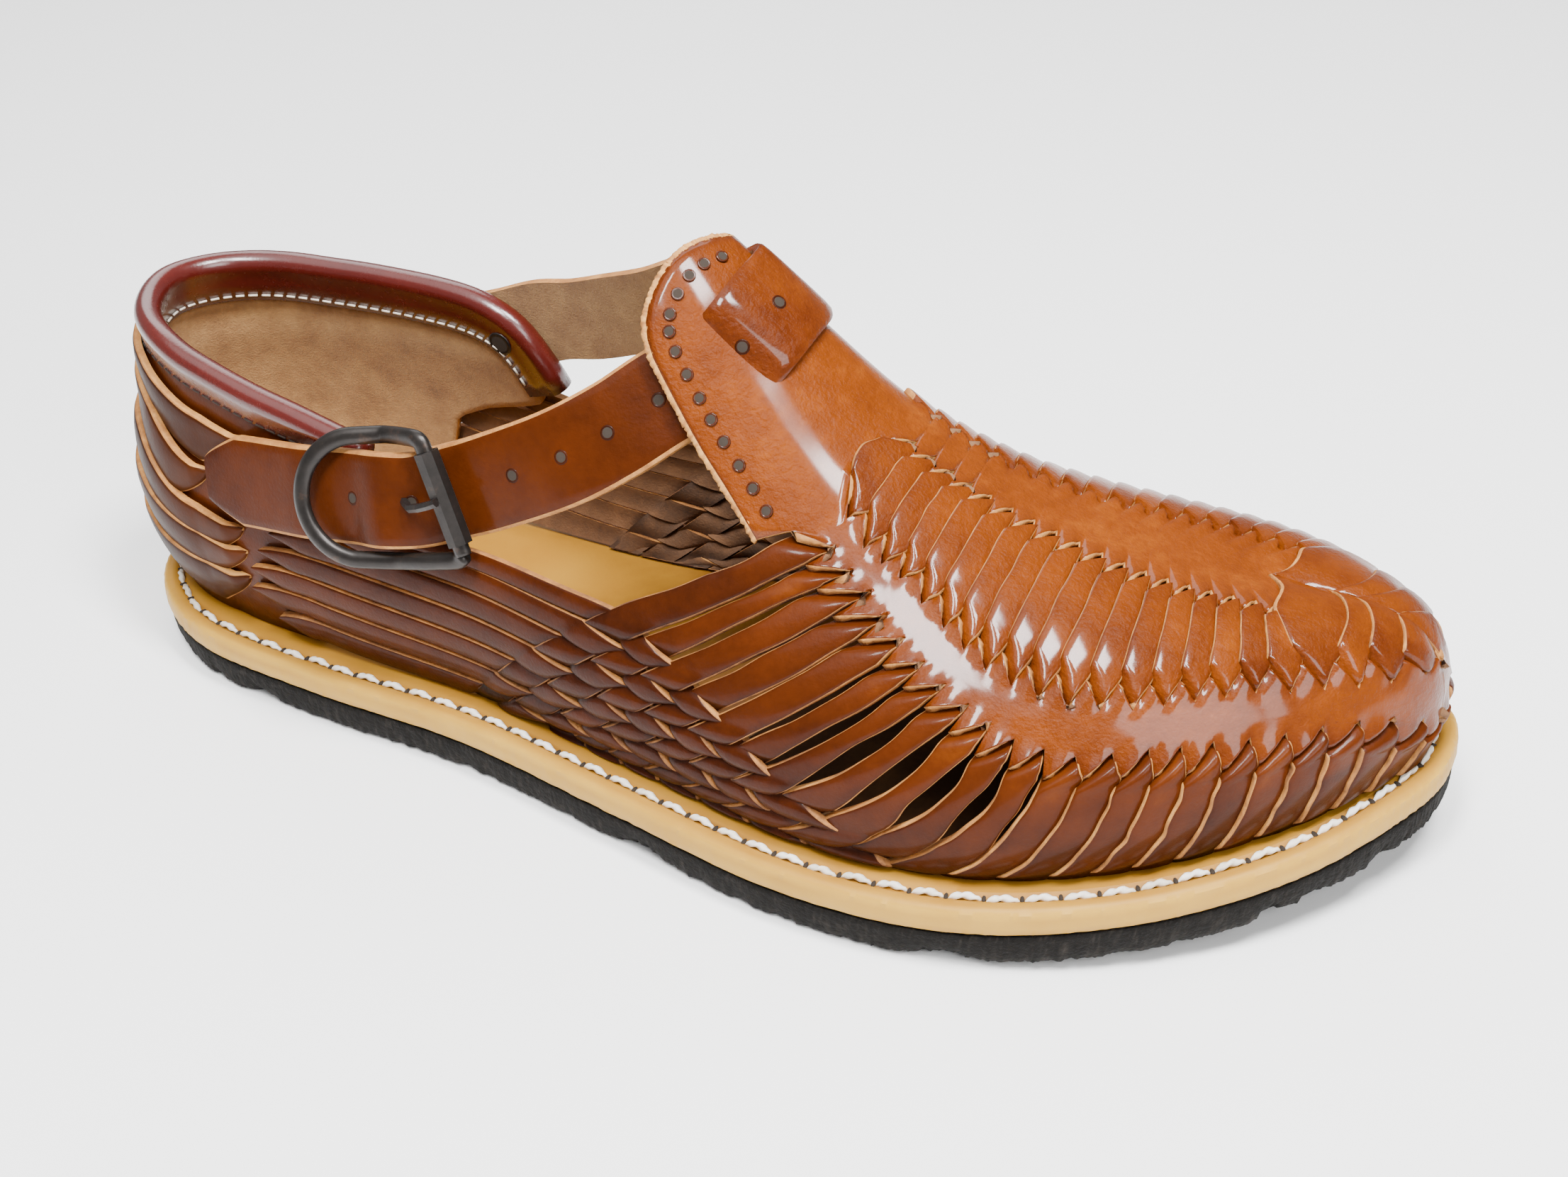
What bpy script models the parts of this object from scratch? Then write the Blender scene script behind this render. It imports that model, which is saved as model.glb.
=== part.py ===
"""Leather sandal for the right foot: a woven upper on a stitched leather and rubber sole.

The toe points along +X, the inner side of the foot is +Y and the floor is z = 0. The origin
is on the floor under the middle of the heel. Every length is in metres.
"""
import math

import bmesh
import bpy
import numpy as np

# Driving dimensions
SHOE_LENGTH = 0.290
BALL_WIDTH = 0.108
HEEL_SEAT = 0.040
OUTSOLE_THICKNESS = 0.0076
MIDSOLE_THICKNESS = 0.0061
TOE_SPRING = 0.0087
OUTSOLE_INSET = 0.0004
TREAD_WEAR = 0.0012
INSTEP_HEIGHT = 0.094
UPPER_WALL = 0.0022
STRIP_RELIEF = 0.0009
FEATHER_INSET = 0.0095
SIDE_BULGE = 0.0035
STRAP_WIDTH = 0.019
STRAP_THICKNESS = 0.0022
TAB_WIDTH = 0.014
TAB_LENGTH = 0.022
TAB_THICKNESS = 0.0020
BINDING_RADIUS = 0.0027
BUCKLE_WIRE = 0.0016
BUCKLE_BAR = 0.0012
BUCKLE_LENGTH = 0.034
BUCKLE_PLAY = 0.0015
ROLLER_RADIUS = 0.0026
ROLLER_WALL = 0.0007
PRONG_RADIUS = 0.0009
RIVET_RADIUS = 0.0050
RIVET_HEIGHT = 0.0022
GAP = 0.0003

FOOTBED = OUTSOLE_THICKNESS + MIDSOLE_THICKNESS
STRIPS = 23
CROSSING_STRIPS = 6

# Outline of the sole from above, heel back, outer side, toe, inner side.
# Columns: along as a share of SHOE_LENGTH, across as a share of BALL_WIDTH.
SOLE_OUTLINE = (
    (0.000, 0.009), (0.028, -0.197), (0.104, -0.330), (0.224, -0.374), (0.361, -0.394),
    (0.498, -0.464), (0.635, -0.529), (0.753, -0.511), (0.853, -0.402), (0.933, -0.228),
    (0.982, -0.033), (1.000, 0.107), (0.989, 0.251), (0.928, 0.397), (0.830, 0.467),
    (0.709, 0.474), (0.570, 0.394), (0.414, 0.328), (0.259, 0.337), (0.121, 0.318),
    (0.035, 0.206),
)
TOE_ROW = 11
SPRING_START = 0.655

# Inset of the upper's foot from the sole's edge.
# Columns: along as a share of SHOE_LENGTH, share of FEATHER_INSET.
FEATHER = ((0.00, 0.42), (0.04, 0.68), (0.12, 1.00), (0.50, 1.00), (0.80, 0.93),
           (0.93, 0.89), (0.985, 0.68), (1.00, 0.58))

# Ridge of the last. Columns: share round the foot from heel to toe, along as a share of
# SHOE_LENGTH, across as a share of BALL_WIDTH, height over the footbed as a share of
# INSTEP_HEIGHT, fullness of the outer side, fullness of the inner side.
RIDGE = (
    (0.00, 0.152, 0.000, 1.110, 2.6, 2.6),
    (0.12, 0.179, 0.000, 1.131, 2.4, 2.4),
    (0.25, 0.259, 0.009, 1.173, 2.2, 2.2),
    (0.36, 0.386, 0.028, 1.152, 2.0, 1.9),
    (0.46, 0.490, 0.046, 1.035, 1.9, 1.8),
    (0.54, 0.569, 0.046, 0.844, 1.9, 1.75),
    (0.61, 0.638, 0.046, 0.673, 2.0, 1.8),
    (0.67, 0.690, 0.046, 0.578, 2.1, 1.9),
    (0.73, 0.738, 0.056, 0.519, 2.2, 2.0),
    (0.79, 0.786, 0.065, 0.482, 2.4, 2.2),
    (0.86, 0.834, 0.074, 0.455, 2.5, 2.4),
    (0.93, 0.876, 0.083, 0.429, 2.6, 2.5),
    (1.00, 0.903, 0.093, 0.407, 2.7, 2.7),
)

# Where the side strips stand on the footbed. Columns: strip number, share round the foot.
STRIP_FOOT = ((0, 0.350), (5, 0.487), (7, 0.545), (9, 0.625), (11, 0.700), (13, 0.757),
              (17, 0.850), (22, 0.968), (23, 1.000))
BAND_START = 0.590
RIDGE_START = 0.601
# The plain band round the vamp. Columns: strip number, lower edge, upper edge (shares of
# the way from the footbed to the ridge).
BAND = ((0, 0.550, 0.655), (4, 0.530, 0.630), (8, 0.440, 0.545), (10, 0.385, 0.500),
        (12, 0.350, 0.475), (16, 0.365, 0.495), (19, 0.355, 0.490), (21, 0.320, 0.450),
        (23, 0.280, 0.420))
WAIST_HEIGHT = 0.217
# Strip number at which the top edge of each crossing strip meets the footbed, lowest first.
CROSSING_END = (6.2, 7.1, 8.0, 8.9, 9.8, 10.6)
RIB_SLIT = 0.905
LAST_SLIT = 18.5

# Top edge of the heel part. Columns: share round the foot, outer height, inner height.
COLLAR = ((0.00, 0.350, 0.350), (0.10, 0.343, 0.345), (0.20, 0.303, 0.337),
          (0.27, 0.285, 0.338), (0.30, 0.280, 0.322), (0.318, 0.265, 0.285),
          (0.328, 0.205, 0.205), (0.40, 0.210, 0.210), (0.50, 0.217, 0.217))
# Height of the woven part under the collar. Columns: share round the foot, height.
WOVEN_HEIGHT = ((0.00, 0.300), (0.15, 0.270), (0.20, 0.235), (0.24, 0.195), (0.40, 0.195),
                (0.50, 0.205))
# Edge of the tongue. Columns: height share, share round the foot.
TONGUE = ((0.50, 0.570), (0.55, 0.540), (0.60, 0.505), (0.655, 0.474), (0.71, 0.468),
          (0.80, 0.469), (0.905, 0.474), (1.00, 0.484))
TONGUE_COLUMNS = 6
HEEL_COLUMNS = 14

# Route of the ankle strap. Columns: side (-1 outer, 1 inner), share round the foot, height
# share, lift over the last's surface in strap thicknesses.
STRAP_ROUTE = (
    (-1, 0.165, 0.188, 1.15), (-1, 0.195, 0.199, 1.25), (-1, 0.225, 0.209, 1.70),
    (-1, 0.250, 0.219, 2.20), (-1, 0.272, 0.229, 2.25), (-1, 0.293, 0.240, 2.60),
    (-1, 0.315, 0.252, 3.45), (-1, 0.337, 0.270, 2.60), (-1, 0.358, 0.292, 1.00),
    (-1, 0.385, 0.327, 0.60), (-1, 0.430, 0.407, 0.00), (-1, 0.462, 0.490, -1.00),
    (-1, 0.490, 0.600, -1.95), (-1, 0.514, 0.712, -1.85), (-1, 0.521, 0.772, -0.35),
    (-1, 0.524, 0.832, 0.92), (-1, 0.525, 0.930, 0.98), (1, 0.524, 0.965, 1.00),
    (1, 0.519, 0.878, 1.00), (1, 0.512, 0.818, -0.35), (1, 0.502, 0.755, -1.70),
    (1, 0.470, 0.625, -1.80), (1, 0.425, 0.490, -0.60), (1, 0.385, 0.415, 0.70),
    (1, 0.350, 0.368, 1.50), (1, 0.318, 0.335, 1.75), (1, 0.285, 0.292, 1.65),
    (1, 0.255, 0.262, 1.65), (1, 0.212, 0.243, 1.60),
)
SLOTS = ((-1, 0.521, 0.772), (1, 0.513, 0.818))
SLOT_LENGTH = 0.0098
BUCKLE_AT = 0.315
PRONG_HOLE = 0.0060
PRONG_HOLE_LENGTH = 0.0084
RIVET_AT = 0.232


def cubic(before, start, end, after, part):
    """Catmull-Rom point between start and end."""
    return 0.5 * (2 * start + (end - before) * part
                  + (2 * before - 5 * start + 4 * end - after) * part ** 2
                  + (3 * start - before - 3 * end + after) * part ** 3)


def closed_curve(rows, count):
    """count points on a smooth closed curve through the rows."""
    rows = np.array(rows, float)
    place = np.arange(count) / count * len(rows)
    index = place.astype(int)
    part = (place - index)[:, None]
    points = [rows[(index + shift) % len(rows)] for shift in (-1, 0, 1, 2)]
    return cubic(*points, part)


def open_curve(rows, count):
    """count points on a smooth open curve through the rows."""
    rows = np.array(rows, float)
    longer = np.vstack([2 * rows[0] - rows[1], rows, 2 * rows[-1] - rows[-2]])
    place = np.linspace(0, len(rows) - 1, count)
    index = np.minimum(place.astype(int), len(rows) - 2)
    part = (place - index)[:, None]
    points = [longer[index + shift] for shift in range(4)]
    return cubic(*points, part)


def smooth_table(rows, column, at):
    """Value of one column at a share, smooth and without overshoot between the rows."""
    rows = np.array(rows, float)
    known, value = rows[:, 0], rows[:, column]
    step = np.diff(known)
    slope = np.diff(value) / step
    tangent = np.concatenate([slope[:1], np.zeros(len(slope) - 1), slope[-1:]])
    for row in range(1, len(slope)):
        if slope[row - 1] * slope[row] > 0:
            tangent[row] = 2 / (1 / slope[row - 1] + 1 / slope[row])
    at = np.asarray(at, float)
    row = np.clip(np.searchsorted(known, at) - 1, 0, len(slope) - 1)
    part = np.clip((at - known[row]) / step[row], 0, 1)
    square, cube = part ** 2, part ** 3
    return ((2 * cube - 3 * square + 1) * value[row] + (3 * square - 2 * cube) * value[row + 1]
            + (cube - 2 * square + part) * step[row] * tangent[row]
            + (cube - square) * step[row] * tangent[row + 1])


def linear_table(rows, column, at):
    rows = np.array(rows, float)
    return np.interp(at, rows[:, 0], rows[:, column])


def spring(along):
    """Rise of the sole towards the toe."""
    share = np.clip((along / SHOE_LENGTH - SPRING_START) / (1 - SPRING_START), 0, None)
    return TOE_SPRING * share ** 2


OUTLINE_POINTS = 40 * len(SOLE_OUTLINE)


def inset_outline(inset):
    """The sole's outline moved inwards, x from the heel's back."""
    points = closed_curve(SOLE_OUTLINE, OUTLINE_POINTS) * [SHOE_LENGTH, BALL_WIDTH]
    tangent = np.roll(points, -1, 0) - np.roll(points, 1, 0)
    tangent /= np.linalg.norm(tangent, axis=1)[:, None]
    inward = np.stack([-tangent[:, 1], tangent[:, 0]], 1)
    if callable(inset):
        inset = inset(points[:, 0])[:, None]
    return points + inward * inset


def half_outline(points, side):
    """One side from heel back to toe tip with its share of length at each point."""
    toe = OUTLINE_POINTS * TOE_ROW // len(SOLE_OUTLINE)
    half = points[:toe + 1] if side < 0 else np.vstack([points[toe:], points[:1]])[::-1]
    run = np.concatenate([[0], np.cumsum(np.linalg.norm(np.diff(half, axis=0), axis=1))])
    return half, run / run[-1]


def feather_inset(along):
    return FEATHER_INSET * linear_table(FEATHER, 1, along / SHOE_LENGTH)


FEATHER_LINE = {side: half_outline(inset_outline(feather_inset), side) for side in (-1, 1)}


def surface(around, height, side, lift=0.0):
    """Point of the last: around 0 at the heel to 1 at the toe, height 0 at the footbed to 1
    at the ridge, side -1 outer or 1 inner, raised by lift along the surface's normal."""
    around, height = np.broadcast_arrays(np.asarray(around, float), np.asarray(height, float))
    point = last_point(around, height, side)
    if np.any(lift):
        point = point + normal(around, height, side) * np.asarray(lift, float)[..., None]
    return point


def last_point(around, height, side):
    line, share = FEATHER_LINE[side]
    foot_x = np.interp(around, share, line[:, 0])
    foot_y = np.interp(around, share, line[:, 1])
    base = FOOTBED + 2 * GAP + spring(foot_x)
    ridge_x = smooth_table(RIDGE, 1, around) * SHOE_LENGTH
    ridge_y = smooth_table(RIDGE, 2, around) * BALL_WIDTH
    ridge_z = FOOTBED + smooth_table(RIDGE, 3, around) * INSTEP_HEIGHT
    fullness = smooth_table(RIDGE, 4 if side < 0 else 5, around)
    angle = np.clip(height, 0, 1) * math.pi / 2
    inward = np.clip(np.cos(angle), 0, 1) ** (2 / fullness)
    upward = np.sin(angle) ** (2 / fullness)
    out_x, out_y = foot_x - ridge_x, foot_y - ridge_y
    reach = np.hypot(out_x, out_y)
    rise = (ridge_z - base) * upward
    # The bulge ends at the ridge, where the two sides meet.
    bulge = (SIDE_BULGE * np.sin(np.clip(rise / (0.48 * INSTEP_HEIGHT), 0, 1) * math.pi)
             * (1 - np.clip(height, 0, 1) ** 6))
    x = ridge_x + out_x * inward + out_x / reach * bulge
    y = ridge_y + out_y * inward + out_y / reach * bulge
    return np.stack([x - HEEL_SEAT, y, base + rise], -1)


def reflected_point(around, height, side):
    """Point of the last where a share just outside 0 to 1 carries on over the other side."""
    over = (around < 0) | (around > 1) | (height > 1)
    around = 1 - np.abs(1 - np.abs(around))
    height = 1 - np.abs(1 - height)
    here, there = last_point(around, height, side), last_point(around, height, -side)
    return np.where(over[..., None], there, here)


def normal(around, height, side):
    """Outward normal of the last's surface."""
    around, height = np.broadcast_arrays(np.asarray(around, float), np.asarray(height, float))
    step = 0.004
    # At the ridge's front end both directions vanish, so its normal is read just below it.
    height = np.where((around == 1) & (height == 1), 1 - step, height)
    low, high = np.maximum(height - step, 0), height + step
    up = reflected_point(around, high, side) - last_point(around, low, side)
    forward = (reflected_point(around + step, height, side)
               - reflected_point(around - step, height, side))
    outward = np.cross(up, forward) if side > 0 else np.cross(forward, up)
    return outward / np.linalg.norm(outward, axis=-1)[..., None]


def material(name, color, roughness, metallic=0.0):
    made = bpy.data.materials.new(name)
    made.use_nodes = True
    shader = made.node_tree.nodes["Principled BSDF"]
    shader.inputs["Base Color"].default_value = (*color, 1)
    shader.inputs["Roughness"].default_value = roughness
    shader.inputs["Metallic"].default_value = metallic
    return made


def mesh_object(name, points, faces, collection, finish=None):
    """Object from points and faces, with equal points merged and empty faces left out."""
    mesh = bpy.data.meshes.new(name)
    shape = bmesh.new()
    corners = [shape.verts.new(point) for point in points]
    for face in faces:
        ring = [corner for place, corner in enumerate(face) if face[place - 1] != corner]
        if len(set(ring)) > 2:
            shape.faces.new([corners[corner] for corner in ring])
    loose = [corner for corner in shape.verts if not corner.link_faces]
    bmesh.ops.delete(shape, geom=loose, context="VERTS")
    shape.to_mesh(mesh)
    shape.free()
    made = bpy.data.objects.new(name, mesh)
    if finish:
        mesh.materials.append(finish)
    collection.objects.link(made)
    return made


def face_outward(made):
    shape = bmesh.new()
    shape.from_mesh(made.data)
    bmesh.ops.recalc_face_normals(shape, faces=shape.faces)
    shape.to_mesh(made.data)
    shape.free()


def smooth(made, angle=40):
    made.data.shade_smooth()
    made.data.set_sharp_from_angle(angle=math.radians(angle))


# Sole
SOLE_STATIONS = 44


def sole_layer(name, levels, collection, finish):
    """Solid between the first and the last level. Columns: inset, height."""
    points, rings = [], []
    for inset, level in levels:
        outline = inset_outline(inset)
        halves = [half_outline(outline, side)[0] for side in (-1, 1)]
        ring = []
        for half in halves:
            place = np.linspace(0, len(half) - 1, SOLE_STATIONS + 1)
            x = np.interp(place, np.arange(len(half)), half[:, 0])
            y = np.interp(place, np.arange(len(half)), half[:, 1])
            z = level + spring(x)
            ring.append(np.stack([x - HEEL_SEAT, y, z], 1))
        loop = np.vstack([ring[0], ring[1][-2:0:-1]])
        rings.append(range(len(points), len(points) + len(loop)))
        points.extend(loop)
    faces = []
    count = len(rings[0])
    for lower, upper in zip(rings, rings[1:]):
        for place in range(count):
            after = (place + 1) % count
            faces.append((lower[place], lower[after], upper[after], upper[place]))
    for ring in (rings[0], rings[-1]):
        for place in range(SOLE_STATIONS):
            across, across_after = -place % count, -(place + 1) % count
            faces.append((ring[place], ring[place + 1], ring[across_after], ring[across]))
    made = mesh_object(name, points, unique_faces(faces), collection, finish)
    face_outward(made)
    smooth(made)
    return made


def unique_faces(faces):
    """Faces with repeated neighbouring corners dropped."""
    return [tuple(dict.fromkeys(face)) for face in faces]


def add_outsole(collection):
    finish = material("tyre rubber", (0.026, 0.023, 0.020), 0.85)
    worn = OUTSOLE_INSET + TREAD_WEAR
    levels = ((worn, 0.0), (OUTSOLE_INSET + GAP, TREAD_WEAR), (OUTSOLE_INSET, OUTSOLE_THICKNESS))
    return sole_layer("outsole", levels, collection, finish)


def add_midsole(collection):
    finish = material("natural sole leather", (0.62, 0.36, 0.09), 0.55)
    low, high = OUTSOLE_THICKNESS + GAP, FOOTBED
    edge = 0.15 * MIDSOLE_THICKNESS
    levels = ((GAP, low), (0.0, low + edge), (0.0, high - edge), (edge, high))
    return sole_layer("midsole", levels, collection, finish)


# Upper
def strip_foot(number):
    return linear_table(STRIP_FOOT, 1, number)


def strip_path(number, height):
    """Share round the foot of a strip at a height: it leans from its foot up to the band."""
    foot = strip_foot(number)
    band = BAND_START + (1 - BAND_START) * number / STRIPS
    ridge = RIDGE_START + (1 - RIDGE_START) * number / STRIPS
    edge = linear_table(BAND, 1, number)
    low = foot + (band - foot) * np.clip(height / edge, 0, 1) ** 0.85
    high = band + (ridge - band) * np.clip((height - edge) / (1 - edge), 0, 1)
    return np.where(height < edge, low, high)


def crossing_height(row, number):
    """Height of a weave row at a strip: two rows for each crossing strip."""
    ends = np.interp(np.arange(1, 2 * CROSSING_STRIPS + 1) / 2,
                     np.arange(len(CROSSING_END) + 1), (4.5,) + CROSSING_END)
    if row == 0:
        return 0.0
    top = WAIST_HEIGHT * row / (2 * CROSSING_STRIPS)
    return top * max(0.0, 1 - number / ends[row - 1])


FREE_ROWS = (0.22, 0.50, 0.78)
WEAVE_ROWS = 2 * CROSSING_STRIPS
EDGE_ROW = WEAVE_ROWS + len(FREE_ROWS) + 1
GAP_AFTER = (2, 5, 6, 7, 8, 9, 10, 11)
# Shares of a strip's width: its edge beside a groove, and where it narrows beside a gap.
SHOULDER = 0.10
WAIST_SHOULDER = 0.19
FOOT_RELIEF = 0.15
SPINE_RELIEF = 0.5


def column_heights(number):
    """Heights of all rows of the upper along one strip, from footbed to ridge."""
    rows = [crossing_height(row, number) for row in range(WEAVE_ROWS + 1)]
    low, high = linear_table(BAND, 1, number), linear_table(BAND, 2, number)
    rows += [rows[-1] + (low - rows[-1]) * share for share in FREE_ROWS]
    rows += [low, high, 0.5 * (high + RIB_SLIT), RIB_SLIT, 1.0]
    return rows


def strip_columns():
    """Columns of the vamp: strip number and kind, groove or shoulder."""
    columns = []
    for strip in range(STRIPS):
        columns.append((strip, 0.0, "groove"))
        columns.append((strip, SHOULDER, "shoulder"))
        if strip <= max(GAP_AFTER) + 1:
            columns.append((strip, 1 - SHOULDER, "shoulder"))
    columns.append((STRIPS, 0.0, "groove"))
    return columns


def relief(strip, kind, row):
    """Height of a grid point over the last in strip reliefs."""
    if row <= WEAVE_ROWS:
        if kind == "groove" or row % 2 == 0:
            return FOOT_RELIEF
        return 1.0 if (strip + row // 2) % 2 == 0 else FOOT_RELIEF
    if row < EDGE_ROW:
        return 1.0 if kind == "shoulder" else 0.0
    if row <= EDGE_ROW + 1:
        return 0.8
    if row == EDGE_ROW + 2:
        return 1.0 if kind == "shoulder" else 0.0
    if row == EDGE_ROW + 3 and strip < LAST_SLIT:
        return 0.1
    return SPINE_RELIEF


def vamp_grid(side, store):
    """Grid of the vamp on one side: point numbers by column and row, and its gaps."""
    grid, holes = [], set()
    for column, (strip, offset, kind) in enumerate(strip_columns()):
        line = []
        for row, height in enumerate(column_heights(strip + offset)):
            shift = offset
            middle = row == WEAVE_ROWS + 2
            if middle and strip - 1 in GAP_AFTER and offset == SHOULDER:
                shift = WAIST_SHOULDER
            if middle and strip in GAP_AFTER and offset == 1 - SHOULDER:
                shift = 1 - WAIST_SHOULDER
            place = strip_path(strip + shift, height)
            raised = relief(strip, kind, row) if height > 0 else FOOT_RELIEF
            line.append(store(surface(place, height, side, STRIP_RELIEF * raised)))
        grid.append(line)
        if kind == "groove" and strip - 1 in GAP_AFTER:
            for row in (WEAVE_ROWS + 1, WEAVE_ROWS + 2):
                holes.update({(column - 1, row), (column, row)})
    return grid, holes


def heel_grid(side, store, first):
    """Grid from the vamp's first column back round the heel."""
    grid = [first]
    for column in range(1, HEEL_COLUMNS + 1):
        share = 1 - column / HEEL_COLUMNS
        line = []
        for row in range(WEAVE_ROWS + 1):
            start = strip_path(0, crossing_height(row, 0))
            around = start * share ** 0.92
            if row == WEAVE_ROWS:
                height = linear_table(COLLAR, 1 if side < 0 else 2, around)
            else:
                height = linear_table(WOVEN_HEIGHT, 1, around) * row / (WEAVE_ROWS - 1) * 0.97
            plain = row < 2 or row == WEAVE_ROWS or 0.185 < around < 0.245
            lift = 0.0 if plain or row % 2 == 0 else STRIP_RELIEF
            line.append(store(surface(around, height, side, lift)))
        grid.append(line)
    return grid


def tongue_grid(side, store, first):
    """Grid of the tongue from the vamp's first column back to its round edge."""
    grid = [first]
    heights = column_heights(0)[EDGE_ROW:]
    for column in range(1, TONGUE_COLUMNS + 1):
        share = column / TONGUE_COLUMNS
        line = []
        for height in heights:
            edge = linear_table(TONGUE, 1, height)
            start = strip_path(0, height)
            place = start + (edge - start) * share
            line.append(store(surface(place, height, side, SPINE_RELIEF * STRIP_RELIEF)))
        grid.append(line)
    return grid


def grid_faces(grid, side, holes=frozenset()):
    faces = []
    for column in range(len(grid) - 1):
        for row in range(min(len(grid[column]), len(grid[column + 1])) - 1):
            if (column, row) in holes:
                continue
            face = (grid[column][row], grid[column + 1][row],
                    grid[column + 1][row + 1], grid[column][row + 1])
            faces.append(face if side < 0 else face[::-1])
    return faces


def lens_cutter(name, side, start, end, height, half, collection):
    """Prism through the wall with a lens outline between two shares round the foot."""
    steps = 4
    share = np.linspace(0, 1, steps + 1)
    swell = half * np.sin(share * math.pi)
    around = start + (end - start) * share
    upper = list(zip(around, height + swell))
    lower = list(zip(around, height - swell))[-2:0:-1]
    return prism_cutter(name, side, upper + lower, collection)


def prism_cutter(name, side, outline, collection):
    """Closed prism through the wall over an outline of (share round the foot, height)."""
    count = len(outline)
    around = np.array([place for place, _ in outline])
    height = np.array([share for _, share in outline])
    inner = surface(around, height, side, np.full(count, -3 * UPPER_WALL))
    outer = surface(around, height, side, np.full(count, 2.5 * UPPER_WALL))
    ring = list(range(count))
    faces = [ring, [place + count for place in ring]]
    for place in ring:
        after = (place + 1) % count
        faces.append((place, after, after + count, place + count))
    made = mesh_object(name, [*inner, *outer], faces, collection)
    face_outward(made)
    made.hide_render = True
    made.display_type = "WIRE"
    return made


# Gaps between the quarter strips. Columns: start and end share round the foot, height share.
QUARTER_GAPS = ((0.262, 0.395, 0.052), (0.255, 0.405, 0.087), (0.262, 0.415, 0.122),
                (0.290, 0.420, 0.158))
QUARTER_GAP_HALF = 0.009


def cut(made, cutter):
    modifier = made.modifiers.new("cut", "BOOLEAN")
    modifier.operation = "DIFFERENCE"
    modifier.solver = "EXACT"
    modifier.object = cutter


def add_upper(collection, cutters):
    points, known = [], {}

    def store(point):
        key = tuple(np.round(point, 7))
        if key not in known:
            known[key] = len(points)
            points.append(point)
        return known[key]

    faces = []
    for side in (-1, 1):
        vamp, holes = vamp_grid(side, store)
        faces += grid_faces(vamp, side, holes)
        faces += grid_faces(heel_grid(side, store, vamp[0][:WEAVE_ROWS + 1]), -side)
        faces += grid_faces(tongue_grid(side, store, vamp[0][EDGE_ROW:]), -side)
    finish = material("cognac leather", (0.42, 0.105, 0.03), 0.35)
    upper = mesh_object("upper", points, unique_faces(faces), collection, finish)
    shell = upper.modifiers.new("wall", "SOLIDIFY")
    shell.thickness = UPPER_WALL
    shell.offset = -1
    for side in (-1, 1):
        for number, (start, end, height) in enumerate(QUARTER_GAPS):
            name = f"gap_{side}_{number}"
            cut(upper, lens_cutter(name, side, start, end, height, QUARTER_GAP_HALF, cutters))
    for side in (-1, 1):
        cut(upper, slot_cutter(side, cutters))
    return upper


def slot_cutter(side, collection):
    """Box through the tongue where the strap dives under it."""
    centre, along, across, out = strap_frame_near(side)
    points, faces = box_points(centre, along, across, out,
                               (SLOT_LENGTH, STRAP_WIDTH + 4 * GAP, 7 * UPPER_WALL))
    made = mesh_object(f"slot_{side}", points, faces, collection)
    face_outward(made)
    made.hide_render = True
    made.display_type = "WIRE"
    return made


def box_points(centre, along, across, out, size):
    points = []
    for part in (-0.5, 0.5):
        for width, depth in ((-0.5, -0.5), (0.5, -0.5), (0.5, 0.5), (-0.5, 0.5)):
            points.append(centre + along * part * size[0] + across * width * size[1]
                          + out * depth * size[2])
    faces = [(0, 1, 2, 3), (4, 5, 6, 7)]
    faces += [(place, (place + 1) % 4, (place + 1) % 4 + 4, place + 4) for place in range(4)]
    return points, faces


# Ankle strap
STRAP_STATIONS = 84


def strap_line():
    """Centre line of the strap, with its directions along, across and outward."""
    route = np.array(STRAP_ROUTE)
    knots, outward = [], []
    for side, around, height, lift in route:
        side = int(side)
        out = normal(np.array(around), np.array(height), side)
        knots.append(surface(around, height, side) + out * lift * STRAP_THICKNESS)
        outward.append(out)
    centre = open_curve(knots, STRAP_STATIONS)
    out = open_curve(outward, STRAP_STATIONS)
    along = np.gradient(centre, axis=0)
    along /= np.linalg.norm(along, axis=1)[:, None]
    across = np.cross(out, along)
    across /= np.linalg.norm(across, axis=1)[:, None]
    out = np.cross(along, across)
    return centre, along, across, out


def strap_frame_near(side):
    """The strap's line where it passes through the slot on one side."""
    slot = [row for row in SLOTS if row[0] == side][0]
    target = surface(slot[1], slot[2], side)
    centre, along, across, out = strap_line()
    near = np.argmin(np.linalg.norm(centre - target, axis=1))
    # The slot keeps the tongue's own direction, not that of the diving strap.
    surface_out = normal(np.array(slot[1]), np.array(slot[2]), side)
    width = across[near] - surface_out * np.dot(across[near], surface_out)
    width /= np.linalg.norm(width)
    return target, np.cross(width, surface_out), width, surface_out


def ribbon(name, centre, across, out, width, thickness, collection, finish):
    """Flat band of rectangular section swept along a line."""
    points, faces = [], []
    widths = np.broadcast_to(np.asarray(width, float), (len(centre),))
    for place in range(len(centre)):
        for half, depth in ((-0.5, -0.5), (0.5, -0.5), (0.5, 0.5), (-0.5, 0.5)):
            points.append(centre[place] + across[place] * half * widths[place]
                          + out[place] * depth * thickness)
    for place in range(len(centre) - 1):
        for corner in range(4):
            after = (corner + 1) % 4
            faces.append((4 * place + corner, 4 * place + after,
                          4 * place + after + 4, 4 * place + corner + 4))
    last = 4 * (len(centre) - 1)
    faces += [(0, 1, 2, 3), (last, last + 1, last + 2, last + 3)]
    made = mesh_object(name, points, faces, collection, finish)
    face_outward(made)
    smooth(made)
    return made


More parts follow.
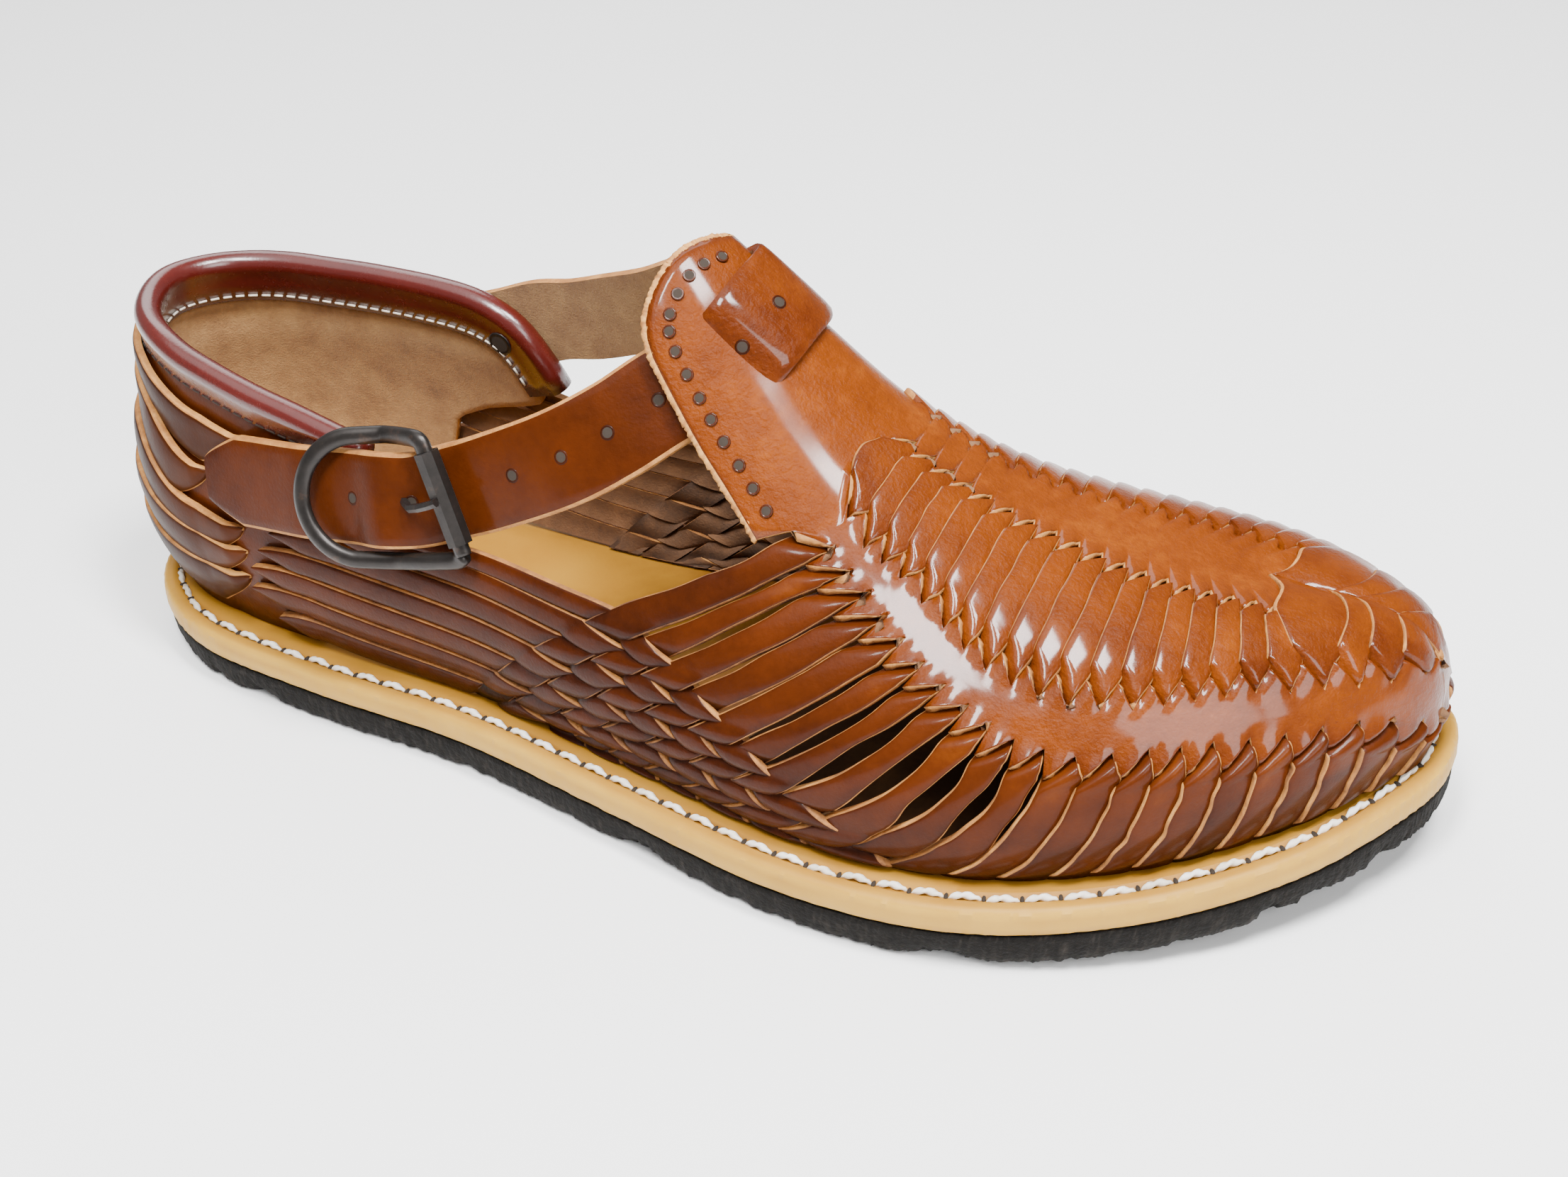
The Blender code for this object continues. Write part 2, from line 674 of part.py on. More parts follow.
def add_strap(collection, cutters):
    centre, _, across, out = strap_line()
    finish = material("strap leather", (0.26, 0.075, 0.03), 0.5)
    width = np.full(len(centre), STRAP_WIDTH)
    width[0] *= 0.45
    width[1] *= 0.8
    strap = ribbon("ankle_strap", centre, across, out, width, STRAP_THICKNESS, collection,
                   finish)
    middle, tangent, side, outward = buckle_axes(PRONG_HOLE)
    size = (PRONG_HOLE_LENGTH, 2 * (PRONG_RADIUS + 2 * GAP), 5 * STRAP_THICKNESS)
    hole = middle + outward * BAR_LIFT
    points, faces = box_points(hole, tangent, side, outward, size)
    prong_hole = mesh_object("prong_hole", points, faces, cutters)
    face_outward(prong_hole)
    prong_hole.hide_render = True
    prong_hole.display_type = "WIRE"
    cut(strap, prong_hole)
    return strap


# Buckle
def buckle_track():
    """The outer part of the strap's route on the last: run from the buckle's bar, share
    round the foot and height."""
    rows = np.array([row[1:3] for row in STRAP_ROUTE if row[0] < 0 and row[1] < 0.45])
    around = np.linspace(rows[0, 0], rows[-1, 0], 120)
    height = np.interp(around, rows[:, 0], rows[:, 1])
    steps = np.linalg.norm(np.diff(surface(around, height, -1), axis=0), axis=1)
    run = np.concatenate([[0], np.cumsum(steps)])
    return run - np.interp(BUCKLE_AT, around, run), around, height


def buckle_axes(along):
    """Point of the last under the strap's middle, with directions along, across, outward."""
    run, around, height = buckle_track()
    step = 0.1 * BUCKLE_LENGTH
    near = [surface(np.interp(reach, run, around), np.interp(reach, run, height), -1)
            for reach in (along - step, along, along + step)]
    outward = normal(np.interp(along, run, around), np.interp(along, run, height), -1)
    tangent = near[2] - near[0]
    tangent -= outward * np.dot(tangent, outward)
    tangent /= np.linalg.norm(tangent)
    return near[1], tangent, np.cross(outward, tangent), outward


BAR_LIFT = STRIP_RELIEF + GAP + TAB_THICKNESS + GAP + BUCKLE_BAR
FRONT_REACH = 0.47 * BUCKLE_LENGTH
REAR_REACH = 0.53 * BUCKLE_LENGTH
RAIL_REACH = 0.5 * STRAP_WIDTH + BUCKLE_PLAY + BUCKLE_WIRE


def wire(name, points, radius, cyclic, collection, finish, resolution=1):
    """Round wire as a closed mesh along points."""
    curve = bpy.data.curves.new(name, "CURVE")
    curve.dimensions = "3D"
    curve.bevel_depth = radius
    curve.bevel_resolution = resolution
    curve.use_fill_caps = not cyclic
    spline = curve.splines.new("POLY")
    spline.points.add(len(points) - 1)
    for point, place in zip(spline.points, points):
        point.co = (*place, 1)
    spline.use_cyclic_u = cyclic
    guide = bpy.data.objects.new(name + "_line", curve)
    collection.objects.link(guide)
    depsgraph = bpy.context.evaluated_depsgraph_get()
    mesh = bpy.data.meshes.new_from_object(guide.evaluated_get(depsgraph))
    bpy.data.objects.remove(guide)
    shape = bmesh.new()
    shape.from_mesh(mesh)
    bmesh.ops.remove_doubles(shape, verts=shape.verts, dist=0.00001)
    bmesh.ops.recalc_face_normals(shape, faces=shape.faces)
    shape.to_mesh(mesh)
    shape.free()
    mesh.materials.clear()
    if finish:
        mesh.materials.append(finish)
    made = bpy.data.objects.new(name, mesh)
    collection.objects.link(made)
    smooth(made)
    return made


def buckle_point(along, across, lift):
    middle, _, side, outward = buckle_axes(along)
    return middle + side * across + outward * lift


def add_buckle(collection, cutters):
    metal = material("dark buckle metal", (0.045, 0.042, 0.042), 0.38, 1.0)
    rear_lift = STRIP_RELIEF + TAB_THICKNESS + STRAP_THICKNESS + BUCKLE_WIRE + 1.6 * BUCKLE_PLAY
    front_lift = 1.7 * STRAP_THICKNESS + 2 * GAP + ROLLER_RADIUS
    ring = []
    for share in np.linspace(0, 1, 15):
        angle = math.pi / 2 + math.pi * share
        along = -0.30 * REAR_REACH + 0.70 * REAR_REACH * math.cos(angle)
        across = RAIL_REACH * math.sin(angle)
        lift = BAR_LIFT + (rear_lift - BAR_LIFT) * max(0, math.sin(math.pi * share)) ** 0.4
        ring.append(buckle_point(along, across, lift))
    for across in (-RAIL_REACH, RAIL_REACH):
        edge = FRONT_REACH - BUCKLE_WIRE
        corner = [(0.0, across, BAR_LIFT), (edge, across, front_lift - GAP),
                  (FRONT_REACH, across * 0.93, front_lift)]
        ring += [buckle_point(*row) for row in (corner if across < 0 else corner[::-1])]
    frame = wire("buckle_frame", ring, BUCKLE_WIRE, True, collection, metal)
    bar_ends = [buckle_point(0.0, share * RAIL_REACH, BAR_LIFT) for share in (-1, 1)]
    bar = wire("bar", bar_ends, BUCKLE_BAR, False, cutters, None)
    bar.hide_render = True
    bar.display_type = "WIRE"
    joined = frame.modifiers.new("bar", "BOOLEAN")
    joined.operation = "UNION"
    joined.object = bar
    half = 0.5 * STRAP_WIDTH
    ends = [buckle_point(FRONT_REACH, share * half, front_lift) for share in (-1, 1)]
    roller = wire("buckle_roller", ends, ROLLER_RADIUS, False, collection, metal, 2)
    bore_ends = [buckle_point(FRONT_REACH, share * 2 * half, front_lift)
                 for share in (-1, 1)]
    bore = wire("roller_bore", bore_ends, ROLLER_RADIUS - ROLLER_WALL, False, cutters, None, 2)
    bore.hide_render = True
    bore.display_type = "WIRE"
    cut(roller, bore)
    over_roller = front_lift + ROLLER_RADIUS + PRONG_RADIUS + GAP
    route = ((BUCKLE_BAR + PRONG_RADIUS + GAP, BAR_LIFT),
             (0.33 * FRONT_REACH, BAR_LIFT + STRAP_THICKNESS),
             (0.56 * FRONT_REACH, front_lift + ROLLER_RADIUS),
             (FRONT_REACH - PRONG_RADIUS, over_roller),
             (FRONT_REACH + 1.7 * PRONG_RADIUS, over_roller))
    prong_line = open_curve([buckle_point(along, 0.0, lift) for along, lift in route], 9)
    wire("buckle_prong", prong_line, PRONG_RADIUS, False, collection, metal)


def add_tab(collection):
    """Leather tab on the outer wing that holds the buckle's bar."""
    finish = material("tab leather", (0.20, 0.06, 0.03), 0.5)
    lift = STRIP_RELIEF + GAP + 0.5 * TAB_THICKNESS
    stations = np.linspace(-TAB_LENGTH, 2 * BUCKLE_BAR, 8)
    axes = [buckle_axes(along) for along in stations]
    centre = np.array([middle + outward * lift for middle, _, _, outward in axes])
    side = [row[2] for row in axes]
    outward = [row[3] for row in axes]
    ribbon("buckle_tab", centre, side, outward, TAB_WIDTH, TAB_THICKNESS, collection, finish)


def collar_edge(side):
    """The heel part's top edge with the front edge of its wing, from wing to heel back."""
    rows = np.array(COLLAR)
    column = 1 if side < 0 else 2
    around = np.concatenate([[0.3235, 0.3205], np.linspace(0.312, 0, 26)])
    height = np.interp(around, rows[:, 0], rows[:, column])
    if side < 0:
        keep = around < 0.285
        return around[keep], height[keep]
    return around, height


def add_binding(collection):
    """Rolled binding round the top of the heel part."""
    finish = material("burgundy binding", (0.085, 0.012, 0.010), 0.3)
    points = []
    for side in (-1, 1):
        around, height = collar_edge(side)
        edge = surface(around, height, side, np.full(len(around), -0.5 * UPPER_WALL))
        out = normal(around, height, side)
        tangent = np.gradient(edge, axis=0)
        away = np.cross(out, tangent) * side
        away /= np.linalg.norm(away, axis=1)[:, None]
        line = edge + away * (BINDING_RADIUS + 2 * GAP)
        points.append(line)
    route = np.vstack([points[0], points[1][-2::-1]])
    return wire("heel_binding", open_curve(route, 56), BINDING_RADIUS, False, collection,
                finish)


def add_rivet(collection):
    finish = material("nickel rivet", (0.60, 0.58, 0.54), 0.25, 1.0)
    centre, along, across, out = strap_line()
    target = surface(RIVET_AT, 0.250, 1)
    near = np.argmin(np.linalg.norm(centre - target, axis=1))
    base = centre[near] + out[near] * (0.5 * STRAP_THICKNESS + GAP)
    points, faces = [], []
    rings, spokes = 5, 20
    for ring in range(rings):
        angle = ring / rings * math.pi / 2
        for spoke in range(spokes):
            turn = 2 * math.pi * spoke / spokes
            radius = RIVET_RADIUS * math.cos(angle)
            points.append(base + across[near] * radius * math.cos(turn)
                          + along[near] * radius * math.sin(turn)
                          + out[near] * RIVET_HEIGHT * math.sin(angle))
    points.append(base + out[near] * RIVET_HEIGHT)
    faces.append(tuple(range(spokes)))
    for ring in range(rings - 1):
        for spoke in range(spokes):
            after = (spoke + 1) % spokes
            faces.append((ring * spokes + spoke, ring * spokes + after,
                          (ring + 1) * spokes + after, (ring + 1) * spokes + spoke))
    top = (rings - 1) * spokes
    for spoke in range(spokes):
        faces.append((top + spoke, top + (spoke + 1) % spokes, len(points) - 1))
    rivet = mesh_object("strap_rivet", points, faces, collection, finish)
    face_outward(rivet)
    smooth(rivet)
    return rivet


def main():
    for old in list(bpy.data.objects):
        bpy.data.objects.remove(old)
    sandal = bpy.data.collections.new("leather_sandal")
    cutters = bpy.data.collections.new("cutters")
    bpy.context.scene.collection.children.link(sandal)
    bpy.context.scene.collection.children.link(cutters)
    add_outsole(sandal)
    add_midsole(sandal)
    add_upper(sandal, cutters)
    add_strap(sandal, cutters)
    add_buckle(sandal, cutters)
    add_tab(sandal)
    add_binding(sandal)
    add_rivet(sandal)


main()
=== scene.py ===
"""Looks of the leather sandal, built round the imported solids, in metres in their frame."""
import math

import bmesh
import bpy
import numpy as np
from mathutils import Matrix, Vector


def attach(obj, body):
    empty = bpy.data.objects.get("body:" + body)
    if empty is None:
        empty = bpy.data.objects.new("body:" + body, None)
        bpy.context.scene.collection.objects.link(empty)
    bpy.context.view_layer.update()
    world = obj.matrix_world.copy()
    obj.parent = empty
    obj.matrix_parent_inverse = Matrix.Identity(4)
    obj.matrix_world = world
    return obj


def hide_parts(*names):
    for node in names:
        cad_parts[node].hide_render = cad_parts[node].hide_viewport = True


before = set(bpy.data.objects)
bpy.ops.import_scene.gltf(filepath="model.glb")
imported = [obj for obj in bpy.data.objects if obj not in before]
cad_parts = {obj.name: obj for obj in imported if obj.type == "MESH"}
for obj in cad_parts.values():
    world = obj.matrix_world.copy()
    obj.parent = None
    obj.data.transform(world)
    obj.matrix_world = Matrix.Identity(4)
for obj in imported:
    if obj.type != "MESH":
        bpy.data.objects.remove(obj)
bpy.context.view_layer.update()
rng = np.random.default_rng(7)

# Sizes of the shoe
SHOE_LENGTH = 0.290
BALL_WIDTH = 0.108
HEEL_SEAT = 0.040
OUTSOLE = 0.0076
FOOTBED = 0.0137
TOE_SPRING = 0.0087
SPRING_START = 0.655
INSTEP_HEIGHT = 0.094
FEATHER_INSET = 0.0095
SIDE_BULGE = 0.0035
WALL = 0.0018
STRIP = 0.0015
STRAP_WIDTH = 0.019
STRAP_THICKNESS = 0.0022
# Gap between the footbed and the last's lower edge, and how high the side bulges.
FOOT_RISE = 0.0006
BULGE_TOP = 0.48 * INSTEP_HEIGHT
OUTER, INNER = -1, 1
UP = np.array([0, 0, 1.0])

# Outline of the sole: along as a share of its length, across as a share of its width.
SOLE_OUTLINE = np.array((
    (0.000, 0.009), (0.028, -0.197), (0.104, -0.330), (0.224, -0.374), (0.361, -0.394),
    (0.498, -0.464), (0.635, -0.529), (0.753, -0.511), (0.853, -0.402), (0.933, -0.228),
    (0.982, -0.033), (1.000, 0.107), (0.989, 0.251), (0.928, 0.397), (0.830, 0.467),
    (0.709, 0.474), (0.570, 0.394), (0.414, 0.328), (0.259, 0.337), (0.121, 0.318),
    (0.035, 0.206)))
TOE_ROW = 11
FEATHER = ((0.00, 0.42), (0.04, 0.68), (0.12, 1.00), (0.50, 1.00), (0.80, 0.93),
           (0.93, 0.89), (0.985, 0.68), (1.00, 0.58))
# Ridge of the last: share round the foot, along, across, height, fullness out, in.
RIDGE = np.array((
    (0.00, 0.152, 0.000, 1.110, 2.6, 2.6), (0.12, 0.179, 0.000, 1.131, 2.4, 2.4),
    (0.25, 0.259, 0.009, 1.173, 2.2, 2.2), (0.36, 0.386, 0.028, 1.152, 2.0, 1.9),
    (0.46, 0.490, 0.046, 1.035, 1.9, 1.8), (0.54, 0.569, 0.046, 0.844, 1.9, 1.75),
    (0.61, 0.638, 0.046, 0.673, 2.0, 1.8), (0.67, 0.690, 0.046, 0.578, 2.1, 1.9),
    (0.73, 0.738, 0.056, 0.519, 2.2, 2.0), (0.79, 0.786, 0.065, 0.482, 2.4, 2.2),
    (0.86, 0.834, 0.074, 0.455, 2.5, 2.4), (0.93, 0.876, 0.083, 0.429, 2.6, 2.5),
    (1.00, 0.903, 0.093, 0.407, 2.7, 2.7)))

# Where boundary n between two side strips stands on the footbed.
FOOT = ((0, 0.350), (5, 0.487), (7, 0.545), (9, 0.625), (11, 0.700), (13, 0.757),
        (17, 0.850), (22, 0.968), (23, 1.000))
# Bow of a boundary: its share of the way to the shoulder at 0.2, 0.4, 0.6, 0.8 of the height.
BOW = ((0, 0.24, 0.49, 0.73, 0.90), (2, 0.28, 0.51, 0.71, 0.87), (6, 0.31, 0.53, 0.71, 0.87),
       (9, 0.36, 0.57, 0.74, 0.88), (13, 0.42, 0.64, 0.79, 0.91), (22, 0.38, 0.60, 0.77, 0.90))
# Slits at the band's lower edge, from shoulder to tip. Columns: strip, round, height.
SHOULDER = ((1, 0.583, 0.570), (2, 0.596, 0.533), (3, 0.606, 0.507), (4, 0.620, 0.482),
            (5, 0.638, 0.470), (6, 0.656, 0.450), (8, 0.685, 0.405), (10, 0.717, 0.333),
            (12, 0.755, 0.290), (14, 0.795, 0.284), (16, 0.831, 0.275), (18, 0.871, 0.262),
            (20, 0.912, 0.258), (21, 0.934, 0.223), (22, 0.958, 0.147), (23, 0.982, 0.095),
            (24, 1.0, 0.060))
TIP = ((0, 0.593, 0.580), (1, 0.610, 0.600), (3, 0.638, 0.563), (5, 0.665, 0.517),
       (8, 0.710, 0.437), (10, 0.738, 0.383), (12, 0.772, 0.350), (14, 0.812, 0.367),
       (16, 0.848, 0.370), (18, 0.890, 0.357), (19, 0.912, 0.350), (20, 0.935, 0.323),
       (21, 0.958, 0.273), (22, 0.980, 0.190), (23, 1.0, 0.120))
STRIPS = 23
RIBS = 22
# Slits at the band's upper edge, where the ribs go in. Columns: rib, round, height.
RIB_SHOULDER = ((0, 0.602, 0.750), (1, 0.618, 0.705), (2, 0.633, 0.690), (3, 0.648, 0.680),
                (4, 0.662, 0.660), (5, 0.677, 0.633), (7, 0.706, 0.582), (9, 0.738, 0.553),
                (11, 0.773, 0.545), (13, 0.810, 0.548), (15, 0.846, 0.575), (17, 0.884, 0.600),
                (18, 0.905, 0.615), (19, 0.927, 0.605), (20, 0.950, 0.577), (21, 0.972, 0.520),
                (22, 0.995, 0.440))
RIB_TIP = ((0, 0.610, 0.667), (1, 0.625, 0.632), (3, 0.651, 0.620), (5, 0.685, 0.570),
           (7, 0.715, 0.517), (9, 0.748, 0.477), (10, 0.765, 0.465), (12, 0.802, 0.473),
           (14, 0.838, 0.493), (16, 0.875, 0.505), (18, 0.917, 0.480), (20, 0.960, 0.420),
           (21, 0.985, 0.385), (22, 1.0, 0.36))
# Middle of the slits beside the spine. Columns: rib, round, height.
SPINE_SLIT = ((0, 0.618, 0.905), (4, 0.678, 0.905), (9, 0.766, 0.880), (13, 0.834, 0.850),
              (17, 0.903, 0.830))
SLIT_RIBS = 18
# Where the ribs' boundaries cross the toe's middle line.
TOE_CROSSING = ((17, 0.940, 1.0), (18, 1.0, 1.0), (19, 1.0, 0.90), (20, 1.0, 0.73),
                (21, 1.0, 0.56), (22, 1.0, 0.40))
# Edge of the tongue from the first side strip to the ridge.
TONGUE_OUTER = ((0.565, 0.510), (0.540, 0.548), (0.517, 0.577), (0.487, 0.627), (0.474, 0.660),
                (0.468, 0.713), (0.469, 0.817), (0.475, 0.905), (0.484, 1.000))
TONGUE_INNER = ((0.565, 0.510), (0.543, 0.548), (0.528, 0.577), (0.512, 0.627), (0.505, 0.660),
                (0.499, 0.713), (0.492, 0.817), (0.488, 0.905), (0.484, 1.000))
TONGUE = {OUTER: TONGUE_OUTER, INNER: TONGUE_INNER}
# Edges of the crossing strips: height at the first boundary, and the boundary at the footbed.
CROSS_START = (0.0, 0.034, 0.070, 0.108, 0.147, 0.187, 0.226, 0.262)
CROSS_END = (2.6, 3.8, 4.9, 5.9, 7.0, 8.0, 9.0, 10.4)
CROSS_BOW = 1.9
CROSSING = 7
# Top edge of the heel part: round, height outside, height inside.
COLLAR = ((0.00, 0.350, 0.350), (0.10, 0.343, 0.345), (0.20, 0.303, 0.337),
          (0.27, 0.285, 0.338), (0.30, 0.280, 0.322), (0.318, 0.265, 0.285),
          (0.328, 0.205, 0.205))
# Front edge of the wing: height, round.
WING_FRONT = ((0.00, 0.222), (0.05, 0.214), (0.12, 0.226), (0.15, 0.255), (0.18, 0.292),
              (0.20, 0.308), (0.30, 0.316))
# Strips round the heel: height of the top edge at the back, at the side, place and height
# of the tip, width share at the back.
HEEL_STRIPS = ((0.318, 0.268, 0.190, 0.247, 0.066), (0.268, 0.197, 0.154, 0.186, 0.070),
               (0.200, 0.142, 0.186, 0.130, 0.066), (0.134, 0.108, 0.186, 0.099, 0.060),
               (0.078, 0.066, 0.182, 0.063, 0.055))
# Middle line of the strap: side, round, height, lift in thicknesses.
STRAP_ROUTE = (
    (-1, 0.165, 0.188, 1.15), (-1, 0.195, 0.199, 1.25), (-1, 0.225, 0.209, 1.70),
    (-1, 0.250, 0.219, 2.20), (-1, 0.272, 0.229, 2.25), (-1, 0.293, 0.240, 2.60),
    (-1, 0.315, 0.252, 3.45), (-1, 0.337, 0.270, 2.60), (-1, 0.358, 0.292, 1.00),
    (-1, 0.385, 0.327, 0.60), (-1, 0.430, 0.407, 0.00), (-1, 0.462, 0.490, -1.00),
    (-1, 0.490, 0.600, -1.95), (-1, 0.514, 0.712, -1.85), (-1, 0.521, 0.772, -0.35),
    (-1, 0.524, 0.832, 0.92), (-1, 0.525, 0.930, 0.98), (1, 0.524, 0.965, 1.00),
    (1, 0.519, 0.878, 1.00), (1, 0.512, 0.818, -0.35), (1, 0.502, 0.755, -1.70),
    (1, 0.470, 0.625, -1.80), (1, 0.425, 0.490, -0.60), (1, 0.385, 0.415, 0.70),
    (1, 0.350, 0.368, 1.50), (1, 0.318, 0.335, 1.75), (1, 0.285, 0.292, 1.65),
    (1, 0.255, 0.262, 1.65), (1, 0.212, 0.243, 1.60),
)
# Share round the foot of the buckle's bar.
BUCKLE_AT = 0.315
BUCKLE_LENGTH = 0.034


# Curves and tables
def cubic(before, start, end, after, part):
    """Cubic through start and end, bent by the points before and after them."""
    return 0.5 * (2 * start + (end - before) * part
                  + (2 * before - 5 * start + 4 * end - after) * part ** 2
                  + (3 * start - before - 3 * end + after) * part ** 3)


def closed_curve(rows, count):
    place = np.arange(count) / count * len(rows)
    index = place.astype(int)
    points = [rows[(index + shift) % len(rows)] for shift in (-1, 0, 1, 2)]
    return cubic(*points, (place - index)[:, None])


def open_curve(rows, count):
    rows = np.array(rows, float)
    longer = np.vstack([2 * rows[0] - rows[1], rows, 2 * rows[-1] - rows[-2]])
    place = np.linspace(0, len(rows) - 1, count)
    index = np.minimum(place.astype(int), len(rows) - 2)
    points = [longer[index + shift] for shift in range(4)]
    return cubic(*points, (place - index)[:, None])


def smooth_table(rows, column, at):
    """Value between the rows of a table, without overshoot."""
    known, value = rows[:, 0], rows[:, column]
    step = np.diff(known)
    slope = np.diff(value) / step
    tangent = np.concatenate([slope[:1], np.zeros(len(slope) - 1), slope[-1:]])
    for row in range(1, len(slope)):
        if slope[row - 1] * slope[row] > 0:
            tangent[row] = 2 / (1 / slope[row - 1] + 1 / slope[row])
    row = np.clip(np.searchsorted(known, at) - 1, 0, len(slope) - 1)
    part = np.clip((at - known[row]) / step[row], 0, 1)
    square, cube = part ** 2, part ** 3
    return ((2 * cube - 3 * square + 1) * value[row] + (3 * square - 2 * cube) * value[row + 1]
            + (cube - 2 * square + part) * step[row] * tangent[row]
            + (cube - square) * step[row] * tangent[row + 1])


def table(rows, column, at):
    """Value on straight lines between the rows of a table."""
    rows = np.array(rows, float)
    return np.interp(at, rows[:, 0], rows[:, column])


def pair(rows, number):
    """Share round the foot and height from a table's second and third columns."""
    return np.stack([table(rows, 1, number), table(rows, 2, number)], -1)


def smoothstep(low, high, at):
    part = np.clip((at - low) / (high - low), 0, 1)
    return part * part * (3 - 2 * part)


def blend(start, end, part):
    return start * (1 - part) + end * part


def unit(vectors):
    return vectors / np.linalg.norm(vectors, axis=-1)[..., None]


def lengths(points):
    """Distance run up to each point of a line."""
    return np.concatenate([[0], np.cumsum(np.linalg.norm(np.diff(points, axis=0), axis=1))])


def smooth_line(points, passes=6):
    points = np.array(points, float)
    for _ in range(passes):
        points[1:-1] = 0.25 * points[:-2] + 0.5 * points[1:-1] + 0.25 * points[2:]
    return points


def resample(points, count):
    """Even stations along a line of points in space, or of rows of share round the foot and
    height, where a height counts for a third."""
    points = np.array(points, float)
    run = lengths(points * [1.0, 0.33] if points.shape[1] == 2 else points)
    at = np.linspace(0, run[-1], count)
    return np.stack([np.interp(at, run, values) for values in points.T], 1)


# The last
def spring(along):
    """Rise of the sole towards the toe."""
    share = np.clip((along / SHOE_LENGTH - SPRING_START) / (1 - SPRING_START), 0, None)
    return TOE_SPRING * share ** 2


OUTLINE_POINTS = 40 * len(SOLE_OUTLINE)
OUTLINE = closed_curve(SOLE_OUTLINE, OUTLINE_POINTS) * [SHOE_LENGTH, BALL_WIDTH]
OUTLINE_TANGENT = unit(np.roll(OUTLINE, -1, 0) - np.roll(OUTLINE, 1, 0))
INWARD = np.stack([-OUTLINE_TANGENT[:, 1], OUTLINE_TANGENT[:, 0]], 1)
FEATHER_OUTLINE = OUTLINE + INWARD * (
    FEATHER_INSET * table(FEATHER, 1, OUTLINE[:, 0] / SHOE_LENGTH))[:, None]
TOE = OUTLINE_POINTS * TOE_ROW // len(SOLE_OUTLINE)


def half_outline(points, side):
    """One side of the outline from the heel to the toe, and the share run at each point."""
    half = points[:TOE + 1] if side < 0 else np.vstack([points[TOE:], points[:1]])[::-1]
    run = lengths(half)
    return half, run / run[-1]


FEATHER_LINE = {side: half_outline(FEATHER_OUTLINE, side) for side in (OUTER, INNER)}


def last_point(around, height, side):
    """Point of the last at a share round the foot and a share of the height to its ridge."""
    line, share = FEATHER_LINE[side]
    foot_x = np.interp(around, share, line[:, 0])
    foot_y = np.interp(around, share, line[:, 1])
    base = FOOTBED + FOOT_RISE + spring(foot_x)
    ridge_x = smooth_table(RIDGE, 1, around) * SHOE_LENGTH
    ridge_y = smooth_table(RIDGE, 2, around) * BALL_WIDTH
    ridge_z = FOOTBED + smooth_table(RIDGE, 3, around) * INSTEP_HEIGHT
    fullness = smooth_table(RIDGE, 4 if side < 0 else 5, around)
    angle = np.clip(height, 0, 1) * math.pi / 2
    inward = np.clip(np.cos(angle), 0, 1) ** (2 / fullness)
    rise = (ridge_z - base) * np.sin(angle) ** (2 / fullness)
    out_x, out_y = foot_x - ridge_x, foot_y - ridge_y
    bulge = (SIDE_BULGE * np.sin(np.clip(rise / BULGE_TOP, 0, 1) * math.pi)
             * (1 - np.clip(height, 0, 1) ** 6))
    outward = inward + bulge / np.hypot(out_x, out_y)
    return np.stack([ridge_x + out_x * outward - HEEL_SEAT, ridge_y + out_y * outward,
                     base + rise], -1)


def reflected_point(around, height, side):
    """Point of the last that goes on over its heel, toe and ridge to the other side."""
    over = (around < 0) | (around > 1) | (height > 1)
    around = 1 - np.abs(1 - np.abs(around))
    height = 1 - np.abs(1 - height)
    here, there = last_point(around, height, side), last_point(around, height, -side)
    return np.where(over[..., None], there, here)


def normal(around, height, side):
    """Outward normal of the last."""
    around, height = np.broadcast_arrays(np.asarray(around, float), np.asarray(height, float))
    step = 0.004
    height = np.where((around > 0.9999) & (height > 0.9999), 1 - step, height)
    up = (reflected_point(around, height + step, side)
          - last_point(around, np.maximum(height - step, 0), side))
    forward = (reflected_point(around + step, height, side)
               - reflected_point(around - step, height, side))
    return unit(np.cross(up, forward) if side > 0 else np.cross(forward, up))


def surface(around, height, side, lift=0.0):
    """Point of the last, raised by lift along its normal. A negative share round the foot
    goes on over the heel's back to the other side."""
    around, height = np.broadcast_arrays(np.asarray(around, float), np.asarray(height, float))
    over = around < 0
    place = reflected_point if np.any(over) else last_point
    point = place(around, height, side)
    if np.any(lift):
        out = normal(np.abs(around), height, side)
        if np.any(over):
            out = np.where(over[..., None], normal(np.abs(around), height, -side), out)
        point = point + out * np.asarray(lift, float)[..., None]
    return point


# Materials
def node(tree, kind, **values):
    made = tree.nodes.new(kind)
    for name, value in values.items():
        setattr(made, name, value)
    return made


def link(tree, start, end):
    tree.links.new(start, end)


def set_inputs(made, values):
    for name, value in values.items():
        made.inputs[name].default_value = value


def noise_node(tree, coord, scale, detail, rough):
    made = node(tree, "ShaderNodeTexNoise")
    set_inputs(made, {"Scale": scale, "Detail": detail, "Roughness": rough})
    link(tree, coord, made.inputs["Vector"])
    return made.outputs["Fac"]


def math_node(tree, operation, first, second):
    made = node(tree, "ShaderNodeMath", operation=operation)
    for socket, value in zip(made.inputs, (first, second)):
        if isinstance(value, (int, float)):
            socket.default_value = value
        else:
            link(tree, value, socket)
    return made.outputs[0]


def ramp(tree, fac, stops):
    made = node(tree, "ShaderNodeValToRGB")
    while len(made.color_ramp.elements) < len(stops):
        made.color_ramp.elements.new(0.5)
    for element, (place, color) in zip(made.color_ramp.elements, stops):
        element.position = place
        element.color = (*color, 1)
    link(tree, fac, made.inputs["Fac"])
    return made.outputs["Color"]


# How far the roughness runs over a material.
ROUGH_RANGE = 0.12


